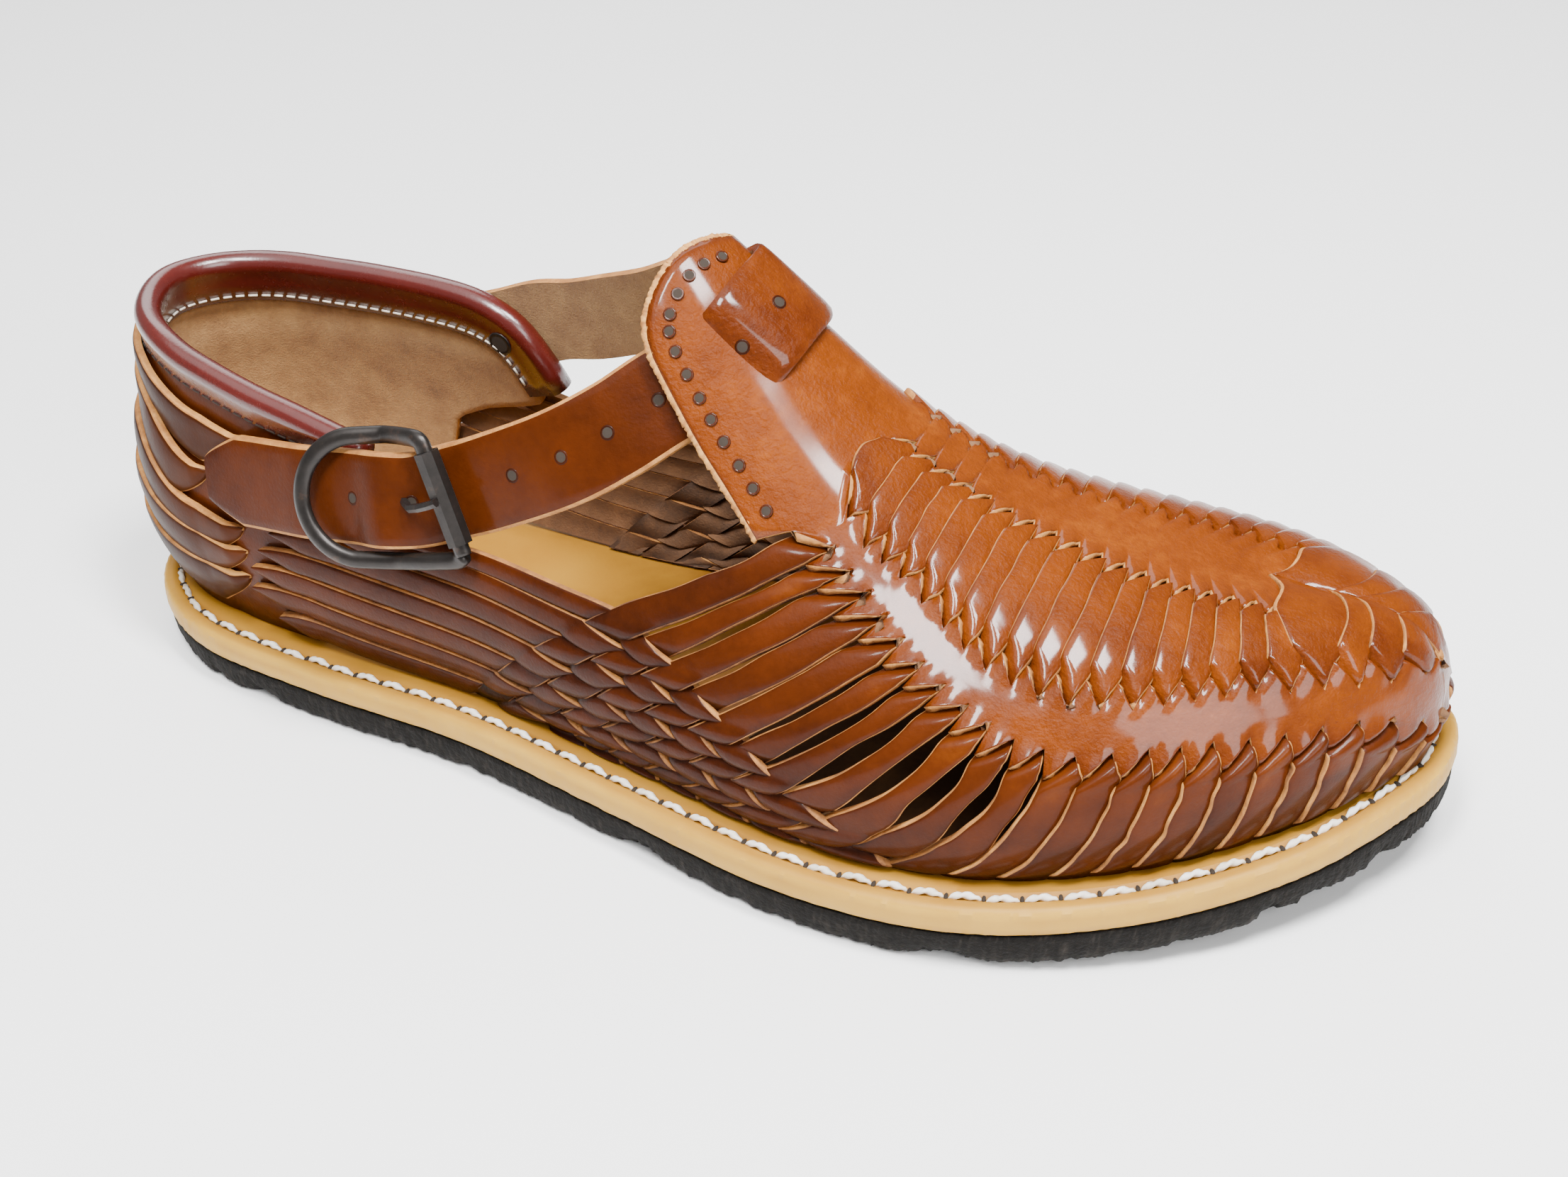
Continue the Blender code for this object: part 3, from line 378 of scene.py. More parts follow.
def surface_material(name, stops, roughness, mottle=0.35, mottle_scale=90, grain=0.2,
                     grain_scale=1500, grain_depth=0.00012, crease=0.0, metallic=0.0, coat=0.0,
                     coat_rough=0.15, specular=0.5, sheen=0.0, tone_and_shade=True):
    """Material whose colour runs through stops, moved by noise and, with tone, by the points'
    own tone, painted shade included. Grain and crease are its fine and coarse bump."""
    made = bpy.data.materials.new(name)
    made.use_nodes = True
    tree = made.node_tree
    shader = tree.nodes["Principled BSDF"]
    set_inputs(shader, {"Metallic": metallic, "Coat Weight": coat, "Coat Roughness": coat_rough,
                        "Specular IOR Level": specular, "Sheen Weight": sheen})
    coord = node(tree, "ShaderNodeTexCoord").outputs["Object"]
    cloud = noise_node(tree, coord, mottle_scale, 4, 0.6)
    fleck = noise_node(tree, coord, mottle_scale * 6, 3, 0.6)
    place = 0.5
    if tone_and_shade:
        place = node(tree, "ShaderNodeAttribute", attribute_name="tone_and_shade").outputs["Fac"]
    for noise, amount in ((cloud, 2 * mottle), (fleck, 0.8 * mottle)):
        spread = math_node(tree, "MULTIPLY", math_node(tree, "SUBTRACT", noise, 0.5), amount)
        place = math_node(tree, "ADD", place, spread)
    link(tree, ramp(tree, place, stops), shader.inputs["Base Color"])
    rough = math_node(tree, "ADD", roughness - ROUGH_RANGE / 2,
                      math_node(tree, "MULTIPLY", fleck, ROUGH_RANGE))
    link(tree, rough, shader.inputs["Roughness"])
    height = noise_node(tree, coord, grain_scale, 3, 0.6)
    if crease:
        wrinkle = noise_node(tree, coord, grain_scale * 0.16, 4, 0.65)
        height = math_node(tree, "ADD", height, math_node(tree, "MULTIPLY", wrinkle, crease))
    bump = node(tree, "ShaderNodeBump")
    set_inputs(bump, {"Strength": grain, "Distance": grain_depth})
    link(tree, height, bump.inputs["Height"])
    link(tree, bump.outputs["Normal"], shader.inputs["Normal"])
    return made


VAMP = surface_material("vamp leather", (
    (0.0, (0.013, 0.0022, 0.0003)), (0.45, (0.074, 0.0125, 0.0006)), (0.8, (0.150, 0.030, 0.0010)),
    (1.0, (0.23, 0.055, 0.003))), 0.36, mottle=0.30, coat=0.40, coat_rough=0.10, specular=0.06,
    grain=0.85, crease=2.0, grain_scale=1300, grain_depth=0.00034)
STRIP_COLOR = ((0.0, (0.006, 0.0012, 0.0003)), (0.4, (0.038, 0.0070, 0.0009)),
               (0.75, (0.072, 0.0138, 0.0011)), (1.0, (0.13, 0.029, 0.002)))
STRIP_LOOK = {"roughness": 0.44, "mottle": 0.28, "coat": 0.13, "specular": 0.05, "grain": 0.5,
              "crease": 1.0, "grain_depth": 0.0002}
STRIP_TOP = surface_material("strip leather", STRIP_COLOR, **STRIP_LOOK)
TAB = surface_material("tab leather", STRIP_COLOR, tone_and_shade=False, **STRIP_LOOK)
HEEL_TOP = surface_material("heel strip leather", (
    (0.0, (0.007, 0.0018, 0.0005)), (0.5, (0.034, 0.0078, 0.0013)), (1.0, (0.075, 0.018, 0.003))),
    0.46, mottle=0.25, coat=0.07, specular=0.05, grain=0.35, crease=0.8)
CUT_EDGE = surface_material("cut edge", (
    (0.0, (0.07, 0.020, 0.004)), (0.5, (0.31, 0.120, 0.022)), (1.0, (0.55, 0.27, 0.070))), 0.75,
    mottle=0.5, mottle_scale=300, grain=0.8, grain_scale=2500, grain_depth=0.0002)
SUEDE = surface_material("suede", (
    (0.0, (0.08, 0.032, 0.010)), (0.5, (0.30, 0.150, 0.050)), (1.0, (0.52, 0.30, 0.11))), 0.92,
    mottle=0.45, mottle_scale=120, grain=0.7, grain_scale=2200, grain_depth=0.0003, sheen=0.2)
# Flesh side of the strips and the plate, its own colour darkened as painted shade of the shoe's
# inside.
SHADED_FLESH_SIDE = surface_material("flesh side in painted shade", (
    (0.0, (0.035, 0.015, 0.006)), (0.5, (0.12, 0.052, 0.019)), (1.0, (0.23, 0.11, 0.045))), 0.9,
    mottle=0.4, mottle_scale=150, grain=0.7, grain_scale=2200, grain_depth=0.0003)
BURGUNDY = surface_material("burgundy leather", (
    (0.0, (0.015, 0.002, 0.0015)), (0.5, (0.065, 0.006, 0.004)), (1.0, (0.13, 0.014, 0.008))), 0.26,
    mottle=0.15, coat=0.4, coat_rough=0.2, grain=0.35, crease=0.8)
SOLE = surface_material("sole leather", (
    (0.0, (0.10, 0.032, 0.003)), (0.35, (0.32, 0.145, 0.013)), (0.7, (0.40, 0.205, 0.022)),
    (1.0, (0.50, 0.285, 0.040))), 0.50, mottle=0.14, mottle_scale=60, grain=0.25,
    grain_scale=900, grain_depth=0.0002, specular=0.2)
# Footbed under the vamp, darkened as painted shade of the shoe's inside.
SHADED_FOOTBED = surface_material("footbed in painted shade", (
    (0.0, (0.030, 0.012, 0.004)), (0.5, (0.085, 0.038, 0.012)), (1.0, (0.16, 0.08, 0.03))), 0.9,
    mottle=0.3, specular=0.1)
RUBBER = surface_material("tyre rubber", (
    (0.0, (0.002, 0.0018, 0.0015)), (0.5, (0.007, 0.006, 0.005)), (1.0, (0.030, 0.025, 0.021))),
    0.85, mottle=0.3, mottle_scale=400, grain=1.0, grain_scale=900, grain_depth=0.0006,
    specular=0.15)
THREAD = surface_material("thread", (
    (0.0, (0.40, 0.33, 0.24)), (0.5, (0.76, 0.70, 0.60)), (1.0, (0.86, 0.83, 0.77))), 0.7,
    mottle=0.3, mottle_scale=500, grain=0.5, grain_scale=3000)
# Dark cups in the holes and the stitch holes: painted shade where no real hole is cut.
PAINTED_SHADE = surface_material("painted shade", (
    (0.0, (0.010, 0.006, 0.003)), (1.0, (0.030, 0.018, 0.010))), 0.9, tone_and_shade=False)
METAL = surface_material("dark buckle metal", (
    (0.0, (0.010, 0.009, 0.0085)), (0.6, (0.024, 0.020, 0.018)), (1.0, (0.10, 0.055, 0.035))),
    0.36, mottle=0.5, mottle_scale=250, grain=0.25, grain_scale=900, metallic=0.6,
    tone_and_shade=False)
NICKEL = surface_material("nickel rivet", (
    (0.0, (0.40, 0.38, 0.35)), (1.0, (0.70, 0.68, 0.64))), 0.28, mottle=0.2, metallic=1.0,
    tone_and_shade=False, grain=0.05)


# Mesh building
class Builder:
    """Collects points and faces of one piece."""

    def __init__(self):
        self.points, self.tones, self.faces, self.slots, self.count = [], [], [], [], 0

    def grid(self, points, slots, tone_and_shade, wrap=False, flip=False):
        """Quads over an array of points, with a material slot for each column."""
        rows, columns = points.shape[:2]
        numbers = self.count + np.arange(rows * columns).reshape(rows, columns)
        self.points.append(points.reshape(-1, 3))
        self.tones.append(np.broadcast_to(tone_and_shade, (rows, columns)).reshape(-1))
        self.count += rows * columns
        ends = columns if wrap else columns - 1
        for column in range(ends):
            after = (column + 1) % columns
            quad = np.stack([numbers[:-1, column], numbers[:-1, after],
                             numbers[1:, after], numbers[1:, column]], 1)
            self.faces.append(quad[:, ::-1] if flip else quad)
            slot = slots if isinstance(slots, int) else slots[column]
            self.slots.append(np.full(rows - 1, slot))
        return numbers

    def cap(self, ring, slot, flip=False):
        """Fan over a ring of point numbers."""
        ring = list(ring)[::-1] if flip else list(ring)
        fan = [(ring[0], ring[place], ring[place + 1], ring[place + 1])
               for place in range(1, len(ring) - 1)]
        self.faces.append(np.array(fan))
        self.slots.append(np.full(len(fan), slot))

    def closed(self, points, slots, tone_and_shade, cap=0):
        """Tube through rings of points, with a cap on each end."""
        numbers = self.grid(points, slots, tone_and_shade, wrap=True)
        self.cap(numbers[0], cap)
        self.cap(numbers[-1], cap, flip=True)

    def join(self, first, second):
        """Quads between two runs of point numbers."""
        self.faces.append(np.stack([first[:-1], first[1:], second[1:], second[:-1]], 1))
        self.slots.append(np.zeros(len(first) - 1, int))

    def finish(self, name, materials, slot, merge=0.0, sharp=50):
        """Object of all faces, with edges over sharp degrees kept sharp."""
        mesh = bpy.data.meshes.new(name)
        faces = [tuple(dict.fromkeys(face)) for face in np.vstack(self.faces).tolist()]
        mesh.from_pydata(np.vstack(self.points).tolist(), [], faces)
        slots = np.concatenate(self.slots)
        mesh.polygons.foreach_set("material_index", slots.astype(np.int32))
        # Each point's tone, painted shade included, goes into an attribute that the materials read.
        tone_and_shade = mesh.attributes.new("tone_and_shade", "FLOAT", "POINT")
        tone_and_shade.data.foreach_set("value", np.concatenate(self.tones).astype(np.float32))
        for material in materials:
            mesh.materials.append(material)
        shape = bmesh.new()
        shape.from_mesh(mesh)
        if merge:
            bmesh.ops.remove_doubles(shape, verts=shape.verts, dist=merge)
        bmesh.ops.dissolve_degenerate(shape, edges=shape.edges, dist=1e-7)
        bmesh.ops.recalc_face_normals(shape, faces=shape.faces)
        shape.to_mesh(mesh)
        shape.free()
        mesh.shade_smooth()
        if sharp:
            mesh.set_sharp_from_angle(angle=math.radians(sharp))
        made = bpy.data.objects.new(name, mesh)
        bpy.context.scene.collection.objects.link(made)
        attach(made, "root")
        return made


# Cross section of a strip: share of the width and depth under the top in thicknesses.
SECTION = np.array((
    (0.0, 1.0), (0.0, 0.55), (0.0, 0.22), (0.035, 0.04), (0.12, 0.0), (0.30, 0.0), (0.50, 0.0),
    (0.70, 0.0), (0.88, 0.0), (0.965, 0.04), (1.0, 0.22), (1.0, 0.55), (1.0, 1.0), (0.66, 1.0),
    (0.33, 1.0)))
SECTION_SLOTS = [1, 1, 1, 0, 0, 0, 0, 0, 0, 1, 1, 1, 2, 2, 2]
SECTION_EDGES = [0, 1, 2, 10, 11, 12]


def wobble(count, size, knots):
    """Smooth random run along a hand-cut edge."""
    return open_curve(rng.normal(0, size, knots)[:, None], count)[:, 0]


def sided(name, side):
    return name + ("_outer" if side < 0 else "_inner")


def add_strip(builder, rear, front, lift_rear, lift_front, side, tone_and_shade, edge_tone,
              thickness=STRIP, dome=0.0004):
    """Leather strip between two edges given as (share round the foot, height) rows."""
    share, depth = SECTION.T
    place = rear[:, None] + (front - rear)[:, None] * share[None, :, None]
    lift = (blend(lift_rear[:, None], lift_front[:, None], share)
            + dome * (1 - np.abs(2 * share - 1) ** 3) - depth * thickness)
    points = surface(np.clip(place[..., 0], -1, 1), np.clip(place[..., 1], 0, 1), side, lift)
    # Painted shade: each strip darker along its long edges, where it meets its neighbours.
    tones = tone_and_shade[:, None] - 0.16 * np.exp(-(np.minimum(share, 1 - share) / 0.10) ** 2)
    tones[:, SECTION_EDGES] = edge_tone + wobble(len(rear), 0.12, 9)[:, None]
    builder.closed(points, SECTION_SLOTS, tones, 1)


# Sole
STATIONS = 1400
GROOVE = 0.0043
STITCH_PITCH = 0.0068
# Torn spots of the outsole's edge: place round the sole, width, depth.
SCARS = ((0.245, 0.006, 0.0022), (0.33, 0.008, 0.0016), (0.425, 0.004, 0.003),
         (0.44, 0.006, 0.002), (0.12, 0.004, 0.0015), (0.47, 0.004, 0.0018),
         (0.68, 0.006, 0.002))
# Rings round the outsole: inset, level, share of the tearing, tone.
OUTSOLE_RINGS = ((0.0022, 0.0, 0.9, 0.45), (0.0011, 0.0007, 1.0, 0.55),
                 (0.0007, 0.0022, 0.55, 0.5), (0.0005, 0.0040, 0.3, 0.45),
                 (0.0005, 0.0060, 0.18, 0.45), (0.0006, OUTSOLE - 0.0001, 0.0, 0.4))
# Rings round the midsole, over its groove and onto the footbed: inset, level, tone. The low tones in
# the groove are painted shade.
MIDSOLE_RINGS = ((0.0009, OUTSOLE + 0.0001, 0.45), (0.0002, OUTSOLE + 0.0008, 0.75),
                 (0.0, OUTSOLE + 0.0022, 0.95), (0.0001, OUTSOLE + 0.0038, 0.85),
                 (0.0003, FOOTBED - 0.0009, 0.95), (0.0009, FOOTBED - 0.00025, 0.75),
                 (0.0017, FOOTBED, 0.55), (GROOVE - 0.0013, FOOTBED, 0.45),
                 (GROOVE - 0.0007, FOOTBED - 0.0005, 0.30), (GROOVE, FOOTBED - 0.0008, 0.22),
                 (GROOVE + 0.0007, FOOTBED - 0.0005, 0.30), (GROOVE + 0.0013, FOOTBED, 0.42),
                 (0.0075, FOOTBED, 0.42), (0.0110, FOOTBED, 0.36), (0.0150, FOOTBED, 0.40),
                 (0.0190, FOOTBED, 0.42))


def sole_ring(inset, level, stations=STATIONS):
    """Closed ring round the sole, as points in order from the heel's back over the outside."""
    place = np.linspace(0, OUTLINE_POINTS, stations, endpoint=False)
    index = np.arange(OUTLINE_POINTS + 1)
    flat = OUTLINE + INWARD * inset
    flat = np.vstack([flat, flat[:1]])
    x = np.interp(place, index, flat[:, 0])
    y = np.interp(place, index, flat[:, 1])
    return np.stack([x - HEEL_SEAT, y, level + spring(x)], 1)


def inward_of(ring, inset, level):
    return (sole_ring(inset + 0.001, level) - ring) / 0.001


def ring_run(size, knots):
    """Smooth closed random run round the sole."""
    return closed_curve(rng.normal(0, size, (knots, 1)), STATIONS)[:, 0]


def fill_cap(builder, ring, slots):
    """Faces from one side of a ring to the other, with a material slot for each."""
    count = len(ring)
    for place in range(count // 2):
        a, b = ring[place], ring[(place + 1) % count]
        c, d = ring[(-place - 1) % count], ring[-place % count]
        builder.faces.append(np.array([(a, b, c, d)]))
        builder.slots.append(np.array([slots[place]]))


def add_rings(builder, rings, tones, top_slots):
    """Closed layer of the sole from rings, lowest first."""
    numbers = builder.grid(np.array(rings).transpose(1, 0, 2), 0, np.array(tones).T)
    builder.join(numbers[-1], numbers[0])
    fill_cap(builder, numbers[:, 0], np.zeros(STATIONS, int))
    fill_cap(builder, numbers[:, -1], top_slots)


def add_outsole():
    builder = Builder()
    torn = np.abs(ring_run(0.00045, 260)) + np.abs(ring_run(0.0003, 700))
    share = np.arange(STATIONS) / STATIONS
    scars = np.zeros(STATIONS)
    for centre, width, deep in SCARS:
        scars += deep * np.exp(-((share - centre) / width) ** 2) * (0.6 + rng.random(STATIONS))
    rings = []
    for inset, level, rough, _ in OUTSOLE_RINGS:
        ring = sole_ring(inset, level)
        move = (torn * 0.8 + scars * (1.0 if level < 0.003 else 0.4)) * rough
        ring = ring + inward_of(ring, inset, level) * move[:, None]
        ring[:, 2] += rng.random(STATIONS) * 0.0003 * (0.0001 < level < 0.007)
        rings.append(ring)
    tones = np.array([row[3] for row in OUTSOLE_RINGS])[:, None]
    tones = tones + rng.normal(0, 0.12, (len(rings), STATIONS))
    add_rings(builder, rings, tones, np.zeros(STATIONS, int))
    made = builder.finish("outsole_rubber_torn", [RUBBER], "outsole_rubber", sharp=0)
    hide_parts("outsole")


def add_midsole():
    builder = Builder()
    rings, tones = [], []
    for inset, level, tone_and_shade in MIDSOLE_RINGS:
        ring = sole_ring(inset, level)
        if 0.0001 < level - OUTSOLE < 0.0060 and inset < 0.001:
            rough = np.abs(ring_run(0.0001, 300))[:, None]
            ring = ring + inward_of(ring, inset, level) * rough
        rings.append(ring)
        # Painted shade: the footbed darker towards the toe, under the vamp.
        footbed_shade = 0.38 * smoothstep(0.060, 0.115, ring[:, 0]) if inset > 0.010 else 0
        tones.append(tone_and_shade + ring_run(0.05, 90) - footbed_shade)
    add_rings(builder, rings, tones, (rings[-1][:, 0] > 0.118).astype(int))
    made = builder.finish("footbed_leather", [SOLE, SHADED_FOOTBED], "sole_leather", sharp=40)
    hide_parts("midsole")


def groove_line():
    """Function that gives points at distances along the groove, and the groove's length."""
    ring = sole_ring(GROOVE, FOOTBED - 0.00025, 2 * STATIONS)
    ring = np.vstack([ring, ring[:1]])
    run = lengths(ring)

    def sample(reach):
        return np.stack([np.interp(reach % run[-1], run, values) for values in ring.T], 1)

    return sample, run[-1]


def add_sole_stitches():
    """Twisted thread in the groove, with a dark cup of painted shade where each stitch goes in."""
    thread, holes = Builder(), Builder()
    sample, whole = groove_line()
    count = int(whole / STITCH_PITCH)
    pitch = whole / count
    turns = np.linspace(0, 2 * math.pi, 10, endpoint=False)
    share = np.linspace(0, 1, 13)[:, None]
    swell = np.sin(share * math.pi)
    lobes = 1 + 0.30 * np.cos(2 * (turns - share * 2.5 * math.pi - 0.6))
    radius = 0.00062 * (0.40 + 0.60 * swell ** 0.45) * lobes
    for start in np.arange(count) * pitch:
        centre = sample(start + pitch * np.linspace(0.05, 0.95, len(share)))
        across = np.cross(unit(np.gradient(centre, axis=0)), UP)
        centre[:, 2] += -0.0008 + 0.0011 * swell[:, 0] ** 0.6 + rng.normal(0, 0.00006)
        centre += across * rng.normal(0, 0.00012)
        rings = (centre[:, None] + across[:, None] * (np.cos(turns) * radius)[..., None]
                 + UP * (np.sin(turns) * radius)[..., None])
        thread.closed(rings, 0, 0.55 + rng.normal(0, 0.12))
        middle, ahead = sample(np.array([start, start + 0.0005]))
        ahead = unit(ahead - middle)
        top = (middle - 0.00007 * UP + np.outer(np.cos(turns), ahead) * 0.0004
               + np.outer(np.sin(turns), np.cross(ahead, UP)) * 0.0008)
        holes.closed(np.array([top - 0.0008 * UP, top]), 0, 0.5)
    thread.finish("sole_stitches", [THREAD], "sole_leather", sharp=0)
    holes.finish("stitch_holes", [PAINTED_SHADE], "sole_leather", sharp=0)


# Side strips and weave
def boundary(number, share):
    """Lower part of the boundary between two side strips, from the footbed to the shoulder."""
    foot = table(FOOT, 1, number)
    end = pair(SHOULDER, number + 1)
    bow = [table(BOW, column, number) for column in range(1, 5)]
    way = np.interp(share, (0, 0.2, 0.4, 0.6, 0.8, 1.0), (0, *bow, 1.0))
    return np.stack([foot + (end[0] - foot) * way, end[1] * share], -1)


def cross_heights(number):
    """Heights of the crossing strips' edges at a boundary between side strips."""
    fall = 1 - (number / np.array(CROSS_END)) ** CROSS_BOW
    return np.array(CROSS_START) * np.clip(fall, 0, None)


def cross_level(number, height):
    """Crossing strip, counted from the lowest, at a height."""
    heights = cross_heights(number) + np.arange(CROSSING + 1) * 1e-7
    return np.interp(height, heights, np.arange(CROSSING + 1))


def wave(place):
    """Over and under: 1 in the middle of odd cells and -1 in the middle of even ones."""
    value = np.cos(math.pi * (place - 0.5))
    return np.sign(value) * np.abs(value) ** 0.55


# Height of the weave's waves, of a strip between them, and of an end under the band.
WAVE = 0.00085
STRIP_LIFT = 0.0010
UNDER_BAND = -0.0013
# First strip that laps over the one in front of it.
FIRST_LAPPED = 12
# Share of a strip's width that is open behind it.
OPENING = {3: 0.05, 6: 0.08, 7: 0.15, 8: 0.19, 9: 0.20, 10: 0.20, 11: 0.18, 12: 0.14}
ROWS = 54
SLIT_ROWS = 7


def add_side_strips(side):
    """Strips from the footbed up under the band: woven at the waist, lapped at the toe."""
    builder = Builder()
    share = np.linspace(0, 1, ROWS)
    for strip in range(1, STRIPS + 1):
        rear = smooth_line(boundary(strip - 1, share))
        lower = smooth_line(boundary(strip, np.linspace(0, 1, ROWS - SLIT_ROWS)))
        rise = np.linspace(0, 1, SLIT_ROWS + 1)[1:, None]
        front = np.vstack([lower, blend(pair(SHOULDER, strip + 1), pair(TIP, strip), rise)])
        number = strip - 0.5
        level = cross_level(number, 0.5 * (rear[:, 1] + front[:, 1]))
        woven = (level < CROSSING) * (number < CROSS_END[-1])
        over = wave(level) * (1 if strip % 2 else -1)
        lift = blend(0.0002, STRIP_LIFT + woven * WAVE * over, smoothstep(0.0, 0.05, share))
        if strip < FIRST_LAPPED:
            middle = np.sin(np.clip((share - 0.30) / 0.65, 0, 1) * math.pi)
            gap_rear = 0.03 + OPENING.get(strip, 0) * middle
            gap_front = 0.03 + OPENING.get(strip + 1, 0) * middle
            lift_rear, lift_front = lift, lift + 0.0001
        else:
            gap_rear, gap_front = -0.05 * (1 - share ** 4), -0.12 * (1 - share) ** 0.3
            shingle = smoothstep(0.0, 0.10, share)
            lift_rear = 0.0002 + 0.0016 * shingle
            lift_front = 0.0003 + 0.0003 * shingle + 0.0009 * smoothstep(0.80, 0.93, share)
        across = front - rear
        rear, front = rear + across * gap_rear[:, None], front - across * gap_front[:, None]
        rear[:, 0] += wobble(ROWS, 0.0005, 9)
        front[:-6, 0] += wobble(ROWS, 0.0005, 9)[:-6]
        lift_rear = blend(UNDER_BAND, lift_rear, smoothstep(1.0, 0.90, share))
        lift_front = blend(lift_front, UNDER_BAND, smoothstep(0.93, 1.0, share))
        # One more row takes the end further under the band.
        rear, front = (np.vstack([edge, edge[-1] + 0.28 * (edge[-1] - edge[-9])])
                       for edge in (rear, front))
        lift_rear, lift_front = np.append(lift_rear, -0.0018), np.append(lift_front, -0.0018)
        # Painted shade: darker low down, darker where a strip runs under a crossing strip, and
        # darker still at its foot by the footbed. The noise is the leather's own tone.
        tone_and_shade = 0.42 + 0.28 * smoothstep(0.25, 0.95, share) + rng.normal(0, 0.05)
        tone_and_shade = tone_and_shade - 0.14 * woven * (1 - np.clip(over, 0, 1)) + wobble(ROWS, 0.05, 8)
        tone_and_shade = np.append(tone_and_shade - 0.25 * smoothstep(0.12, 0.0, share), tone_and_shade[-1])
        edge_tone = 0.12 + 0.40 * smoothstep(2, 7, strip) + rng.normal(0, 0.06)
        add_strip(builder, rear, front, lift_rear, lift_front, side, tone_and_shade, edge_tone)
    builder.finish(sided("side_strips", side), [STRIP_TOP, CUT_EDGE, SHADED_FLESH_SIDE],
                   "upper_leather")


def weave_place(number, level):
    """Share round the foot and height at a boundary number and crossing level."""
    height = np.interp(level, np.arange(CROSSING + 1), cross_heights(number))
    return boundary(number, height / table(SHOULDER, 2, number + 1))


# Start of each crossing strip on the wing, from the lowest: round, height low, height high.
QUARTER = ((0.202, 0.012, 0.040), (0.188, 0.044, 0.071), (0.193, 0.073, 0.100),
           (0.203, 0.102, 0.128), (0.214, 0.130, 0.156), (0.262, 0.162, 0.186),
           (0.290, 0.186, 0.204))


def add_crossing_strips(side):
    """Strips that run from the wing over and under the side strips down to the footbed."""
    builder = Builder()
    lead = 26
    lead_share = np.linspace(0, 1, lead, endpoint=False)
    sag = np.stack([0 * lead_share, 0.0036 * np.sin(lead_share * math.pi)], 1)
    width = (0.10 + 0.90 * np.clip(lead_share / 0.13, 0, 1) ** 0.8)[:, None]
    share = np.linspace(0, 1, 70)
    for strip in range(1, CROSSING + 1):
        ends = CROSS_END[strip - 1], CROSS_END[strip]
        start = QUARTER[strip - 1][0]
        edges, leads = [], []
        for end, level, height in zip(ends, (strip - 0.96, strip - 0.04), QUARTER[strip - 1][1:]):
            edge = np.array([weave_place(end * part, level) for part in share])
            edge[-1, 1] = 0
            edges.append(edge)
            leads.append(blend(np.array([start, height]), edge[0], lead_share[:, None]) - sag)
        middle = 0.5 * (leads[0] + leads[1])
        low, high = (np.vstack([middle + (part - middle) * width, edge])
                     for part, edge in zip(leads, edges))
        over = wave(0.5 * sum(ends) * share) * (1 if strip % 2 == 0 else -1)
        lead_over = over[0] * smoothstep(0.6, 1.0, lead_share)
        whole = np.linspace(0, 1, len(low))
        lift = STRIP_LIFT + WAVE * np.concatenate([lead_over, over])
        lift = lift * smoothstep(1.0, 0.97, whole) + 0.0002
        lift[:lead] += 0.0007 * smoothstep(0.25, 0.10, lead_share)
        # Painted shade: darker away from the wing, and more where the strip runs under a side strip.
        # The noise is the leather's own tone.
        tone_and_shade = 0.40 + 0.10 * smoothstep(0.4, 0.0, whole) + rng.normal(0, 0.04)
        tone_and_shade[lead:] -= 0.14 * (1 - np.clip(over, 0, 1))
        add_strip(builder, high, low, lift, lift - 0.0001, side, tone_and_shade, 0.42)
    builder.finish(sided("crossing_strips", side), [STRIP_TOP, CUT_EDGE, SHADED_FLESH_SIDE],
                   "upper_leather")


# Vamp: band, tongue and spine in one plate, and the ribs
PLATE = 0.0016
PLATE_LIFT = 0.0006
SLIT_STEPS = 6
BACK_STEPS = 3
BAND_ROWS = np.array([0, 0.12, 0.35, 0.65, 1, 1.33, 1.67, 2, 2.35, 2.65, 2.88, 3])
SPINE_ROWS = np.array([0, 0.10, 0.3, 0.6, 1.0])
RIB_ROWS = 34


def zigzag(first, last, shoulders, tips, end):
    """Edge that runs from shoulder to tip and back to the next shoulder, with a mark that is
    1 on a slit and 0 on the way back."""
    points, marks = [], []
    for number in range(first, last + 1):
        shoulder, tip = pair(shoulders, number), pair(tips, number)
        after = pair(shoulders, number + 1) if number < last else np.array(end)
        for part in np.arange(SLIT_STEPS) / SLIT_STEPS:
            points.append(blend(shoulder, tip, part))
            marks.append(math.sin(math.pi * min(1, part + 0.12)) ** 0.5 if part else 0.3)
        for part in np.arange(BACK_STEPS) / BACK_STEPS:
            points.append(blend(tip, after, part))
            marks.append(0.25 * (1 - part))
    return np.array(points + [np.array(end)]), np.array(marks + [0.2])


def slit_table(offset, rise):
    return tuple((row[0], row[1] + offset, row[2] + rise) for row in SPINE_SLIT)


